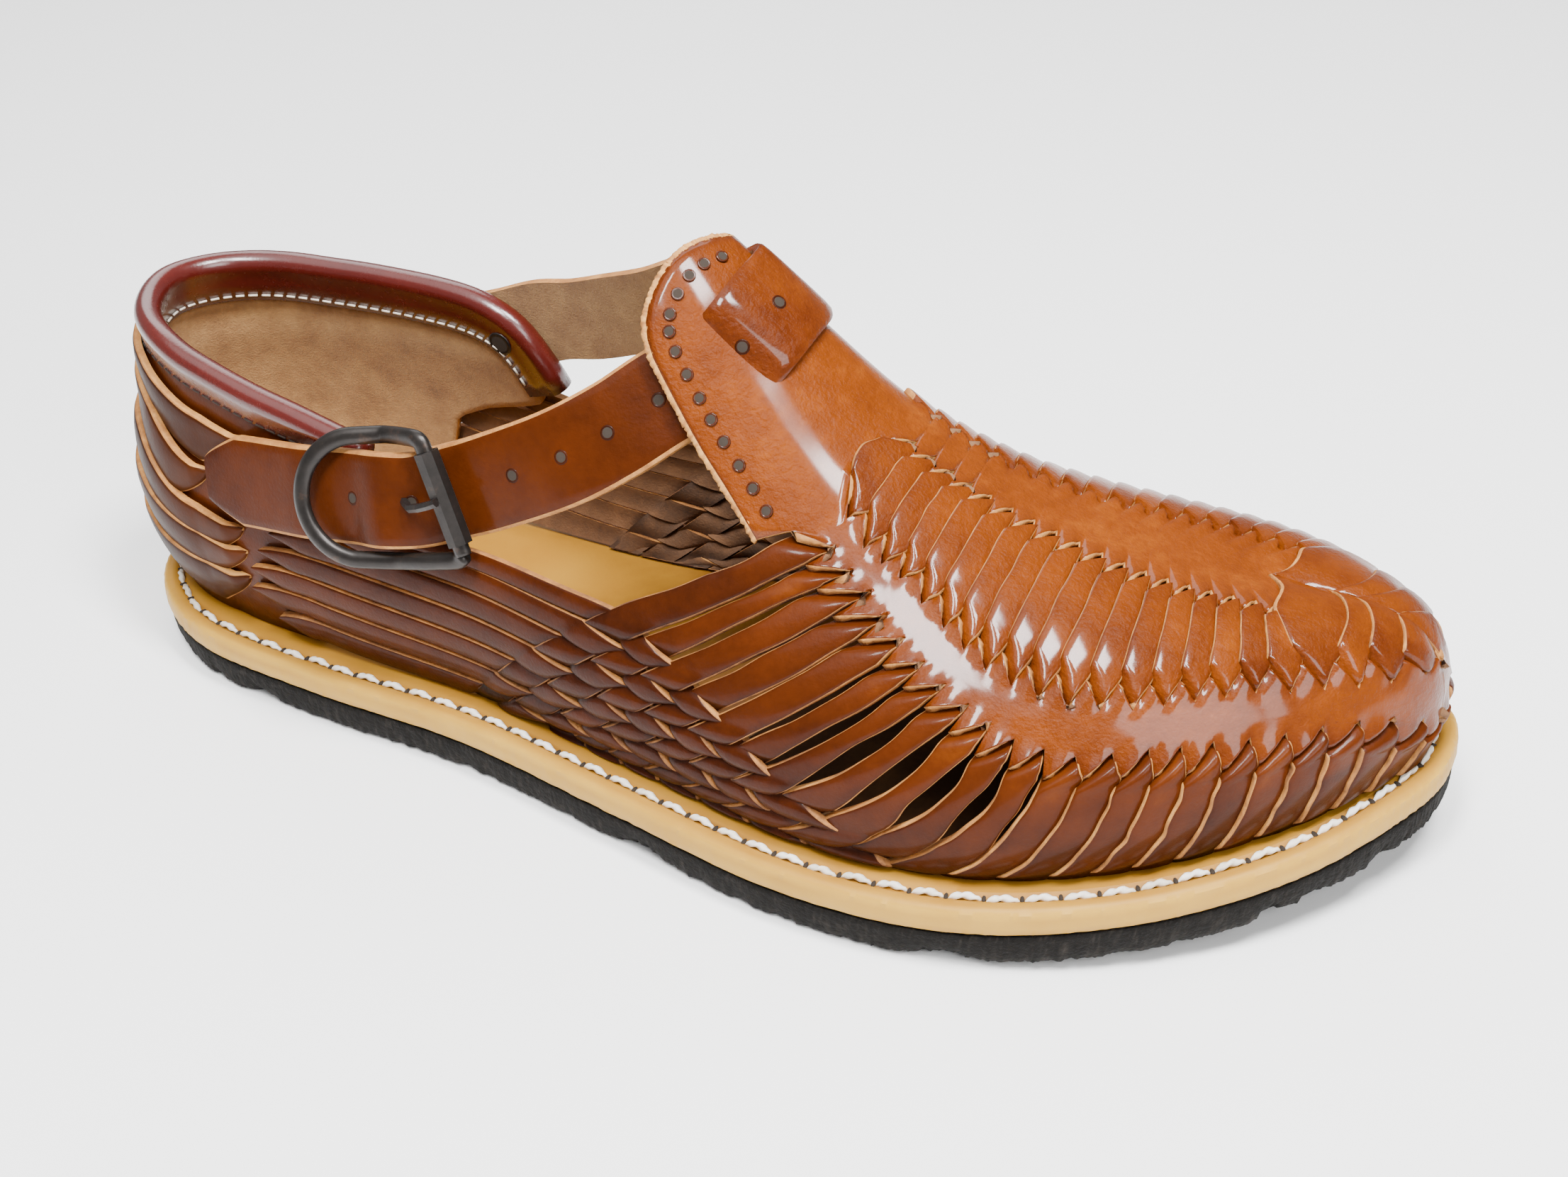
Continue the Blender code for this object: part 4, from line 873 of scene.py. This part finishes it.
def add_vamp_plate():
    builder = Builder()

    def patch(grid, lift, tone_and_shade, flip):
        builder.grid(surface(grid[..., 0], grid[..., 1], side, lift), 0, tone_and_shade, flip=flip)

    for side in (OUTER, INNER):
        low, low_mark = zigzag(1, STRIPS, SHOULDER, TIP, (1.0, 0.060))
        high, high_mark = zigzag(0, STRIPS - 1, RIB_SHOULDER, RIB_TIP, (1.0, 0.450))
        number = 0.25 + np.arange(len(low)) / (SLIT_STEPS + BACK_STEPS)
        tips, rib_tips = pair(TIP, number), pair(RIB_TIP, number - 1)
        tips[-1], rib_tips[-1] = (1.0, 0.13), (1.0, 0.35)
        lines = np.array([low, blend(tips, rib_tips, 0.16), blend(tips, rib_tips, 0.84), high])
        row = np.minimum(BAND_ROWS.astype(int), 2)
        band = blend(lines[row], lines[row + 1], (BAND_ROWS - row)[:, None, None])
        band = band.transpose(1, 0, 2)
        band[-1, :, 0] = 1.0
        edge_low = np.clip(1 - BAND_ROWS, 0, 1) ** 1.3
        edge_high = np.clip(BAND_ROWS - 2, 0, 1) ** 1.3
        band_lift = (PLATE_LIFT + (low_mark * 0.0012 - 0.0003)[:, None] * edge_low
                     + (high_mark * 0.0011 - 0.0003)[:, None] * edge_high)
        # Painted shade along the band's slit edges.
        patch(band, band_lift, 0.72 - 0.20 * edge_low - 0.15 * edge_high, side > 0)
        edge, mark = zigzag(0, SLIT_RIBS - 1, slit_table(-0.0075, -0.028),
                            slit_table(0.0075, 0.028), (0.940, 0.9995))
        ridge = np.stack([edge[:, 0], np.ones(len(edge))], 1)
        spine = blend(edge[:, None], ridge[:, None], SPINE_ROWS[:, None])
        fade = np.clip(1 - SPINE_ROWS / 0.6, 0, 1) ** 1.5
        spine_lift = PLATE_LIFT + (mark * 0.0012 - 0.0003)[:, None] * fade
        # Painted shade along the slits beside the spine.
        patch(spine, spine_lift, 0.78 - 0.12 * fade, side > 0)
        between = resample([high[0], (0.604, 0.81), edge[0]], 9)[1:]
        front = np.vstack([band[0], between, spine[0][1:]])
        front_lift = np.concatenate([band_lift[0], np.full(7, PLATE_LIFT), spine_lift[0]])
        back = resample(open_curve(TONGUE[side], 60), len(front))
        columns = np.linspace(0, 1, 26)
        lift = (PLATE_LIFT + (front_lift - PLATE_LIFT)[:, None] * columns ** 4
                + 0.0003 * (1 - columns))
        # Painted shade along the tongue's edge.
        patch(blend(back[:, None], front[:, None], columns[:, None]), lift,
              0.78 - 0.30 * np.exp(-columns / 0.05), side < 0)
    add_tongue_trim()
    plate = builder.finish("vamp_plate", [VAMP, CUT_EDGE, SHADED_FLESH_SIDE], "upper_leather",
                           merge=0.00002, sharp=0)
    thicken(plate, PLATE)
    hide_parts("upper")


def add_tongue_trim():
    """Raw edge of the tongue and the row of punched holes beside it."""
    rim, holes = Builder(), Builder()
    for side in (OUTER, INNER):
        edge = resample(open_curve(TONGUE[side], 80), 200)
        line = surface(edge[:, 0], edge[:, 1], side, np.full(len(edge), PLATE_LIFT))
        out = normal(edge[:, 0], edge[:, 1], side)
        tangent = unit(np.gradient(line, axis=0))
        inward = np.cross(tangent, out)
        inward *= np.sign(inward[:, :1])
        ragged = rng.normal(0, 0.00012, (len(edge), 1))
        tube(rim, line - out * 0.00055 - inward * (0.0002 + ragged), 0.00088, 0,
             0.72 + rng.normal(0, 0.15, len(edge)), out=out, sides=10)
        run = lengths(line)
        for reach in np.arange(0.0035, run[-1] - 0.001, 0.0049):
            k = int(np.argmin(np.abs(run - reach)))
            face = normal(edge[k, 0] + 0.0125, edge[k, 1], side)
            add_hole(holes, line[k] + inward[k] * 0.0042 + face * 0.0004, tangent[k], inward[k],
                     face, 0.00095)
    rim.finish("tongue_raw_edge", [CUT_EDGE], "upper_leather", sharp=0)
    holes.finish("tongue_holes", [PAINTED_SHADE, VAMP], "upper_leather", sharp=0)


def add_ribs(side):
    """Ribs from the band to the spine. The last ones meet on the toe's middle line."""
    builder = Builder()
    share = np.linspace(0, 1, RIB_ROWS)
    for rib in range(RIBS):
        shoulder, after = pair(RIB_SHOULDER, rib), pair(RIB_SHOULDER, rib + 1)
        at_toe = rib >= SLIT_RIBS
        if at_toe:
            left, right = pair(TOE_CROSSING, rib - 1), pair(TOE_CROSSING, rib)
        else:
            slit = pair(SPINE_SLIT, rib)
            left = slit - [0.0098, 0.030]
            right = slit + [0.015 if rib == SLIT_RIBS - 1 else 0.009, 0.030]
        route = [shoulder, left]
        if rib == SLIT_RIBS:
            route = [shoulder, (0.901, 0.825), (0.929, 0.96), (0.930, 1.0)]
        rear = resample(smooth_line(resample(route, RIB_ROWS)), RIB_ROWS)
        front = resample([pair(RIB_TIP, rib), after, right], RIB_ROWS)
        front[4:-1] = smooth_line(front[4:-1], 4)
        if rib == 0:
            rear[:, 0] -= 0.006 * np.sin(share * math.pi)
        lap = 0.20 * smoothstep(0.05, 0.3, share[3:])[:, None]
        front[3:] += (front - rear)[3:] * lap
        rear[:, 0] += wobble(RIB_ROWS, 0.0003, 6)
        lift_rear = blend(-0.0008, 0.0017, smoothstep(0.0, 0.16, share))
        lift_front = 0.0008 + 0.0007 * smoothstep(0.25, 0.0, share)
        # Painted shade: darker at the rib's lower end by the band and, beside the spine, where it
        # dives into its slit.
        tone_and_shade = 0.60 + 0.12 * smoothstep(0.2, 0.6, share)
        if not at_toe:
            dive = smoothstep(1.0, 0.93, share)
            lift_rear, lift_front = blend(-0.0010, lift_rear, dive), blend(-0.0010, lift_front, dive)
            tone_and_shade = tone_and_shade - 0.10 * smoothstep(0.85, 1.0, share)
        lift_front = lift_front - 0.0021 * smoothstep(0.07, 0.0, share)
        if at_toe:
            near = smoothstep(0.75, 1.0, share)
            lift_rear, lift_front = blend(lift_rear, 0.0012, near), blend(lift_front, 0.0010, near)
            for edge in (rear, front):
                edge[edge[:, 1] > 0.985, 1] = 1.0
            front[:, 0] = np.minimum(front[:, 0], 1.0)
            if rib > SLIT_RIBS:
                rear[-1], front[-1] = left, right
        tone_and_shade = tone_and_shade + rng.normal(0, 0.05) + wobble(RIB_ROWS, 0.03, 7)
        add_strip(builder, rear, front, lift_rear, lift_front, side, tone_and_shade, 0.45,
                  thickness=0.0014, dome=0.0003)
    builder.finish(sided("ribs", side), [VAMP, CUT_EDGE, SHADED_FLESH_SIDE], "upper_leather")


# Heel part
def collar_height(around, side):
    return table(COLLAR, 1 if side < 0 else 2, around)


def add_heel_wall():
    builder = Builder()
    share = np.linspace(0, 1, 26)
    for side in (OUTER, INNER):
        wing = table(WING_FRONT, 1, share * collar_height(0.316, side))
        around = np.linspace(0, 1, 64)[:, None] * wing
        height = collar_height(around[:, -1:], side) * share
        # Painted shade: darker at the foot of the wall, by the footbed.
        builder.grid(surface(around, height, side), 0, 0.62 - 0.12 * np.exp(-height / 0.02),
                     flip=side > 0)
    wall = builder.finish("heel_wall", [STRIP_TOP, CUT_EDGE, SUEDE], "upper_leather", merge=0.00002)
    thicken(wall, WALL)


def thicken(made, thickness):
    """Give a surface its thickness inwards, with the slots 1 for the rim and 2 for the back."""
    modifier = made.modifiers.new("wall", "SOLIDIFY")
    modifier.thickness = thickness
    modifier.offset = -1
    modifier.material_offset_rim = 1
    modifier.material_offset = 2
    depsgraph = bpy.context.evaluated_depsgraph_get()
    mesh = bpy.data.meshes.new_from_object(made.evaluated_get(depsgraph))
    old = made.data
    made.modifiers.clear()
    made.data = mesh
    bpy.data.meshes.remove(old)


def add_heel_strips():
    """Strips round the back of the heel, each lapping over the one below."""
    builder = Builder()
    rows = 120
    share = np.linspace(-1, 1, rows)
    away = np.abs(share)
    taper = 0.06 + 0.94 * np.clip((1 - away) / 0.22, 0, 1) ** 0.7
    end = smoothstep(1.0, 0.93, away)
    for back, side_height, tip, tip_height, width in HEEL_STRIPS[::-1]:
        around = tip * share
        top = np.interp(away * tip, (0, 0.06, 0.13, tip),
                        (back, back - 0.008, side_height, tip_height))
        top = smooth_line(np.stack([around, top], 1), 12)[:, 1]
        rear = np.stack([around, top], 1)
        front = np.stack([around, np.maximum(top - width * taper, 0.001)], 1)
        lift_rear = 0.0022 * end + 0.0002 + wobble(rows, 0.0001, 12)
        tone_and_shade = 0.45 + 0.25 * smoothstep(0.5, 1.0, away) + rng.normal(0, 0.05)
        tone_and_shade = tone_and_shade + wobble(rows, 0.05, 12)
        add_strip(builder, rear, front, lift_rear, 0.0008 * end, OUTER, tone_and_shade, 0.7,
                  thickness=0.0016, dome=0.0006)
    builder.finish("heel_strips", [HEEL_TOP, CUT_EDGE, SUEDE], "upper_leather")


def tube(builder, centre, radius, slot, tone_and_shade, out=UP, sides=12, flat=1.0):
    """Round tube along points, or one flattened towards out."""
    tangent = unit(np.gradient(centre, axis=0))
    across = unit(np.cross(tangent, np.broadcast_to(out, centre.shape)))
    up = np.cross(across, tangent)
    turns = np.linspace(0, 2 * math.pi, sides, endpoint=False)
    points = centre[:, None] + radius * (across[:, None] * np.cos(turns)[:, None]
                                         + up[:, None] * np.sin(turns)[:, None] * flat)
    builder.closed(points, slot, np.reshape(tone_and_shade, (-1, 1)), slot)


def collar_line(count):
    """Edge of the heel part from the outer wing round the back and down the inner wing, with
    its normals."""
    outer = np.linspace(0.285, 0, count // 2, endpoint=False)
    inner = np.concatenate([np.linspace(0, 0.312, count // 2), [0.3205, 0.3235]])
    centre, out = [], []
    for side, around in ((OUTER, outer), (INNER, inner)):
        height = collar_height(around, side)
        centre.append(surface(around, height, side, np.full(len(around), -0.5 * WALL)))
        out.append(normal(around, height, side))
    return np.vstack(centre), np.vstack(out)


def add_binding():
    """Rolled binding with its stitches and the eyelet at the inner wing."""
    builder = Builder()
    centre, out = collar_line(120)
    centre = smooth_line(centre, 8)
    tangent = unit(np.gradient(centre, axis=0))
    away = np.cross(out, tangent)
    away *= np.sign(away[:, 2:3] + 1e-9)
    away = smooth_line(unit(away), 10)
    roll = np.radians(np.linspace(205, -40, 15))
    profile = [(-0.0012, 0.0), (-0.0011, -0.0075), (-0.0018, -0.0080), (-0.0024, -0.0075),
               (-0.0026, -0.0030),
               *zip(0.0029 * np.cos(roll) + 0.0001, 0.0006 + 0.0029 * np.sin(roll)),
               (0.0015, -0.0042), (0.0012, -0.0046), (0.0009, -0.0040)]
    builder.closed(np.stack([centre + out * x + away * z for x, z in profile], 1), 0, 0.5)
    made = builder.finish("collar_binding", [BURGUNDY], "binding_leather", sharp=0)
    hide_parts("heel_binding")
    stitches = Builder()
    run = lengths(centre)
    for start in np.arange(0.004, run[-1] - 0.004, 0.0030):
        at = start + np.array([0, 0.0010, 0.0020])
        line = [np.stack([np.interp(at, run, column) for column in values.T], 1)
                for values in (centre, out, away)]
        # The outer row uses the same dark material as the holes.
        for lift, rise, slot, tone_and_shade in ((-0.00265, -0.0062, 0, 0.4), (0.00155, -0.0040, 1, 0.1)):
            tube(stitches, line[0] + line[1] * lift + line[2] * rise, 0.00025, slot, tone_and_shade, sides=6)
    stitches.finish("collar_stitches", [THREAD, PAINTED_SHADE], "binding_leather", sharp=0)
    eyelet = Builder()
    k = int(np.argmin(np.abs(run - 0.91 * run[-1])))
    add_hole(eyelet, centre[k] - out[k] * 0.0027 - away[k] * 0.0042, tangent[k], away[k], -out[k],
             0.0022)
    eyelet.finish("collar_eyelet", [PAINTED_SHADE, METAL], "binding_leather", sharp=0)


# Strap
# Distances of the holes, and of the piece that shows on the tongue, along the strap.
PATCH_START, PATCH_END = 0.124, 0.160
STRAP_HOLES = (0.0430, 0.0570, 0.0815, 0.0935, 0.1040, 0.1147, 0.1342, 0.1450)


def add_hole(builder, middle, along, across, out, radius):
    """Punched hole: a cup of painted shade inside a pressed rim, laid on the leather."""
    turns = np.linspace(0, 2 * math.pi, 16, endpoint=False)
    circle = np.outer(np.cos(turns), along) + np.outer(np.sin(turns), across)
    rings = [middle + circle * reach * radius + out * lift for reach, lift in (
        (1.35, -0.0004), (1.30, 0.00003), (1.08, 0.00012), (1.0, 0.00005), (0.93, 0.00006))]
    builder.closed(np.array(rings), 1, 0.25)


def strap_line(count=240):
    """Middle line of the strap, with its directions along, across and out."""
    knots, outward = [], []
    for side, around, height, lift in STRAP_ROUTE:
        out = normal(around, height, side)
        knots.append(surface(around, height, side) + out * lift * STRAP_THICKNESS)
        outward.append(out)
    centre, out = open_curve(knots, count), open_curve(outward, count)
    along = unit(np.gradient(centre, axis=0))
    across = unit(np.cross(out, along))
    return centre, along, across, np.cross(along, across)


def band_points(centre, across, out, width):
    """Section of the strap at each station, with rounded edges."""
    share, depth = SECTION.T
    crown = 0.0002 * (1 - np.abs(2 * share - 1) ** 3)
    return (centre[:, None] + across[:, None] * ((share - 0.5) * width[:, None])[..., None]
            + out[:, None] * ((0.5 - depth) * STRAP_THICKNESS + crown)[:, None])


def add_strap():
    builder = Builder()
    centre, along, across, out = strap_line()
    width = np.full(len(centre), STRAP_WIDTH)
    width[:9] *= 0.50 + 0.50 * np.linspace(0, 1, 9) ** 0.8
    share = np.linspace(0, 1, len(centre))
    tone_and_shade = 0.55 + wobble(len(centre), 0.06, 14) - 0.1 * smoothstep(0.05, 0.0, share)
    tones = np.repeat(tone_and_shade[:, None], len(SECTION), 1)
    tones[:, SECTION_EDGES] = 0.55
    builder.closed(band_points(centre, across, out, width), SECTION_SLOTS, tones, 1)
    made = builder.finish("strap", [STRIP_TOP, CUT_EDGE, SUEDE, VAMP], "strap_leather")
    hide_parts("ankle_strap")
    run = lengths(centre)
    for face in made.data.polygons:
        k = int(np.argmin(np.linalg.norm(centre - np.array(face.center), axis=1)))
        if face.material_index < 2 and PATCH_START < run[k] < PATCH_END:
            face.material_index = 3
    holes = Builder()
    for reach in STRAP_HOLES:
        k = int(np.argmin(np.abs(run - reach)))
        add_hole(holes, centre[k] + out[k] * (0.5 * STRAP_THICKNESS + 0.0002), along[k], across[k],
                 out[k], 0.0011)
    holes.finish("strap_holes", [PAINTED_SHADE, STRIP_TOP], "strap_leather", sharp=0)


def buckle_track():
    """Distance from the buckle's bar along the strap, share round the foot and height."""
    rows = np.array([row[1:3] for row in STRAP_ROUTE if row[0] < 0 and row[1] < 0.45])
    around = np.linspace(rows[0, 0], rows[-1, 0], 120)
    height = np.interp(around, rows[:, 0], rows[:, 1])
    run = lengths(surface(around, height, OUTER))
    return run - np.interp(BUCKLE_AT, around, run), around, height


TRACK = buckle_track()


def buckle_axes(along):
    """Point of the last under the buckle, and the directions along, across and out."""
    run, *track = TRACK
    around, height = (np.interp([along - 0.0034, along, along + 0.0034], run, values)
                      for values in track)
    near = surface(around, height, OUTER)
    outward = normal(around[1], height[1], OUTER)
    tangent = near[2] - near[0]
    tangent = unit(tangent - outward * np.dot(tangent, outward))
    return near[1], tangent, np.cross(outward, tangent), outward


def buckle_point(along, across, lift):
    middle, _, side, outward = buckle_axes(along)
    return middle + side * across + outward * lift


# Camera and lights
CAMERA_PLACE = Vector((0.2888, -0.3055, 0.2684))
CAMERA_ANGLES = (-29.101, 33.896, -4.084)
SENSOR_WIDTH = 36
FOCAL_WIDTHS = 1.47 * 2000 / 2212


def add_camera():
    yaw, pitch, roll = (math.radians(angle) for angle in CAMERA_ANGLES)
    forward = Vector((math.sin(yaw) * math.cos(pitch), math.cos(yaw) * math.cos(pitch),
                      -math.sin(pitch)))
    right = Vector((math.cos(yaw), -math.sin(yaw), 0))
    up = right.cross(forward)
    across = math.cos(roll) * right + math.sin(roll) * up
    over = -math.sin(roll) * right + math.cos(roll) * up
    data = bpy.data.cameras.new("camera")
    data.sensor_width = SENSOR_WIDTH
    data.lens = FOCAL_WIDTHS * SENSOR_WIDTH
    camera = bpy.data.objects.new("camera", data)
    bpy.context.scene.collection.objects.link(camera)
    turn = Matrix((across, over, -forward)).transposed()
    camera.matrix_world = Matrix.Translation(CAMERA_PLACE) @ turn.to_4x4()
    bpy.context.scene.camera = camera


def add_light(name, place, target, energy, size):
    data = bpy.data.lights.new(name, "AREA")
    data.energy = energy
    data.shape = "RECTANGLE"
    data.size, data.size_y = size
    lamp = bpy.data.objects.new(name, data)
    lamp.location = place
    aim(lamp, Vector(target) - Vector(place))


def aim(lamp, direction):
    lamp.rotation_euler = Vector(direction).to_track_quat("-Z", "Y").to_euler()
    bpy.context.scene.collection.objects.link(lamp)


def add_studio():
    bpy.ops.mesh.primitive_plane_add(size=8, location=(0.1, 0, 0))
    floor = bpy.context.object
    floor.name = "floor"
    paper = bpy.data.materials.new("white floor")
    paper.use_nodes = True
    set_inputs(paper.node_tree.nodes["Principled BSDF"],
               {"Base Color": (0.93, 0.93, 0.93, 1), "Roughness": 0.9})
    floor.data.materials.append(paper)
    world = bpy.data.worlds.new("world")
    world.use_nodes = True
    set_inputs(world.node_tree.nodes["Background"], {"Color": (1, 1, 1, 1), "Strength": 0.32})
    bpy.context.scene.world = world
    data = bpy.data.lights.new("sky", "SUN")
    data.energy, data.angle = 1.5, 1.0
    aim(bpy.data.objects.new("sky", data), (0.25, 0.30, -1.0))
    add_light("overhead", (0.16, -0.31, 0.82), (0.15, 0, 0.02), 11, (0.15, 0.27))
    add_light("skylight", (0.40, -0.07, 0.84), (0.17, 0, 0.05), 13, (0.15, 0.26))
    add_light("window", (0.75, -0.45, 0.60), (0.14, 0, 0.04), 6, (0.40, 0.40))
    add_light("behind", (-0.45, 0.55, 0.70), (0.10, 0, 0.05), 5, (0.7, 0.5))


def add_buckle():
    """Buckle's frame: a straight front bar and a rounded rear, flat on the strap."""
    rear_lift, front_lift, bar_lift = 0.0092, 0.0072, 0.0046
    half = 0.5 * STRAP_WIDTH + 0.0031
    front, rear = 0.47 * BUCKLE_LENGTH, 0.53 * BUCKLE_LENGTH
    side = [(front, half * 0.93, front_lift), (front - 0.0016, half, front_lift - 0.0003),
            (0.006, half, 0.5 * (front_lift + bar_lift)), (0.0, half, bar_lift)]
    outline = [(along, -across, lift) for along, across, lift in side]
    for share in np.linspace(0.06, 0.94, 21):
        angle = math.pi / 2 + math.pi * share
        lift = bar_lift + (rear_lift - bar_lift) * math.sin(math.pi * share) ** 0.4
        outline.append((rear * (0.70 * math.cos(angle) - 0.30), -half * math.sin(angle), lift))
    outline += side[::-1]
    centre = np.array([buckle_point(*row) for row in outline + outline[:1]])
    centre = smooth_line(resample(centre, 180), 3)
    ring = Builder()
    tube(ring, centre, 0.0018, 0, 0.5, out=buckle_axes(0.0)[3], sides=14, flat=0.72)
    made = ring.finish("buckle_ring", [METAL], "buckle_metal", merge=0.00001, sharp=0)
    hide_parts("buckle_frame")


def paint_nodes():
    for name, material in (("buckle_roller", METAL), ("buckle_prong", METAL),
                           ("buckle_tab", TAB), ("strap_rivet", NICKEL)):
        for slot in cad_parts[name].material_slots:
            slot.material = material


# Assembly
add_camera()
add_studio()
add_outsole()
add_midsole()
add_sole_stitches()
add_vamp_plate()
for which in (OUTER, INNER):
    add_side_strips(which)
    add_crossing_strips(which)
    add_ribs(which)
add_heel_wall()
add_heel_strips()
add_binding()
add_strap()
add_buckle()
paint_nodes()
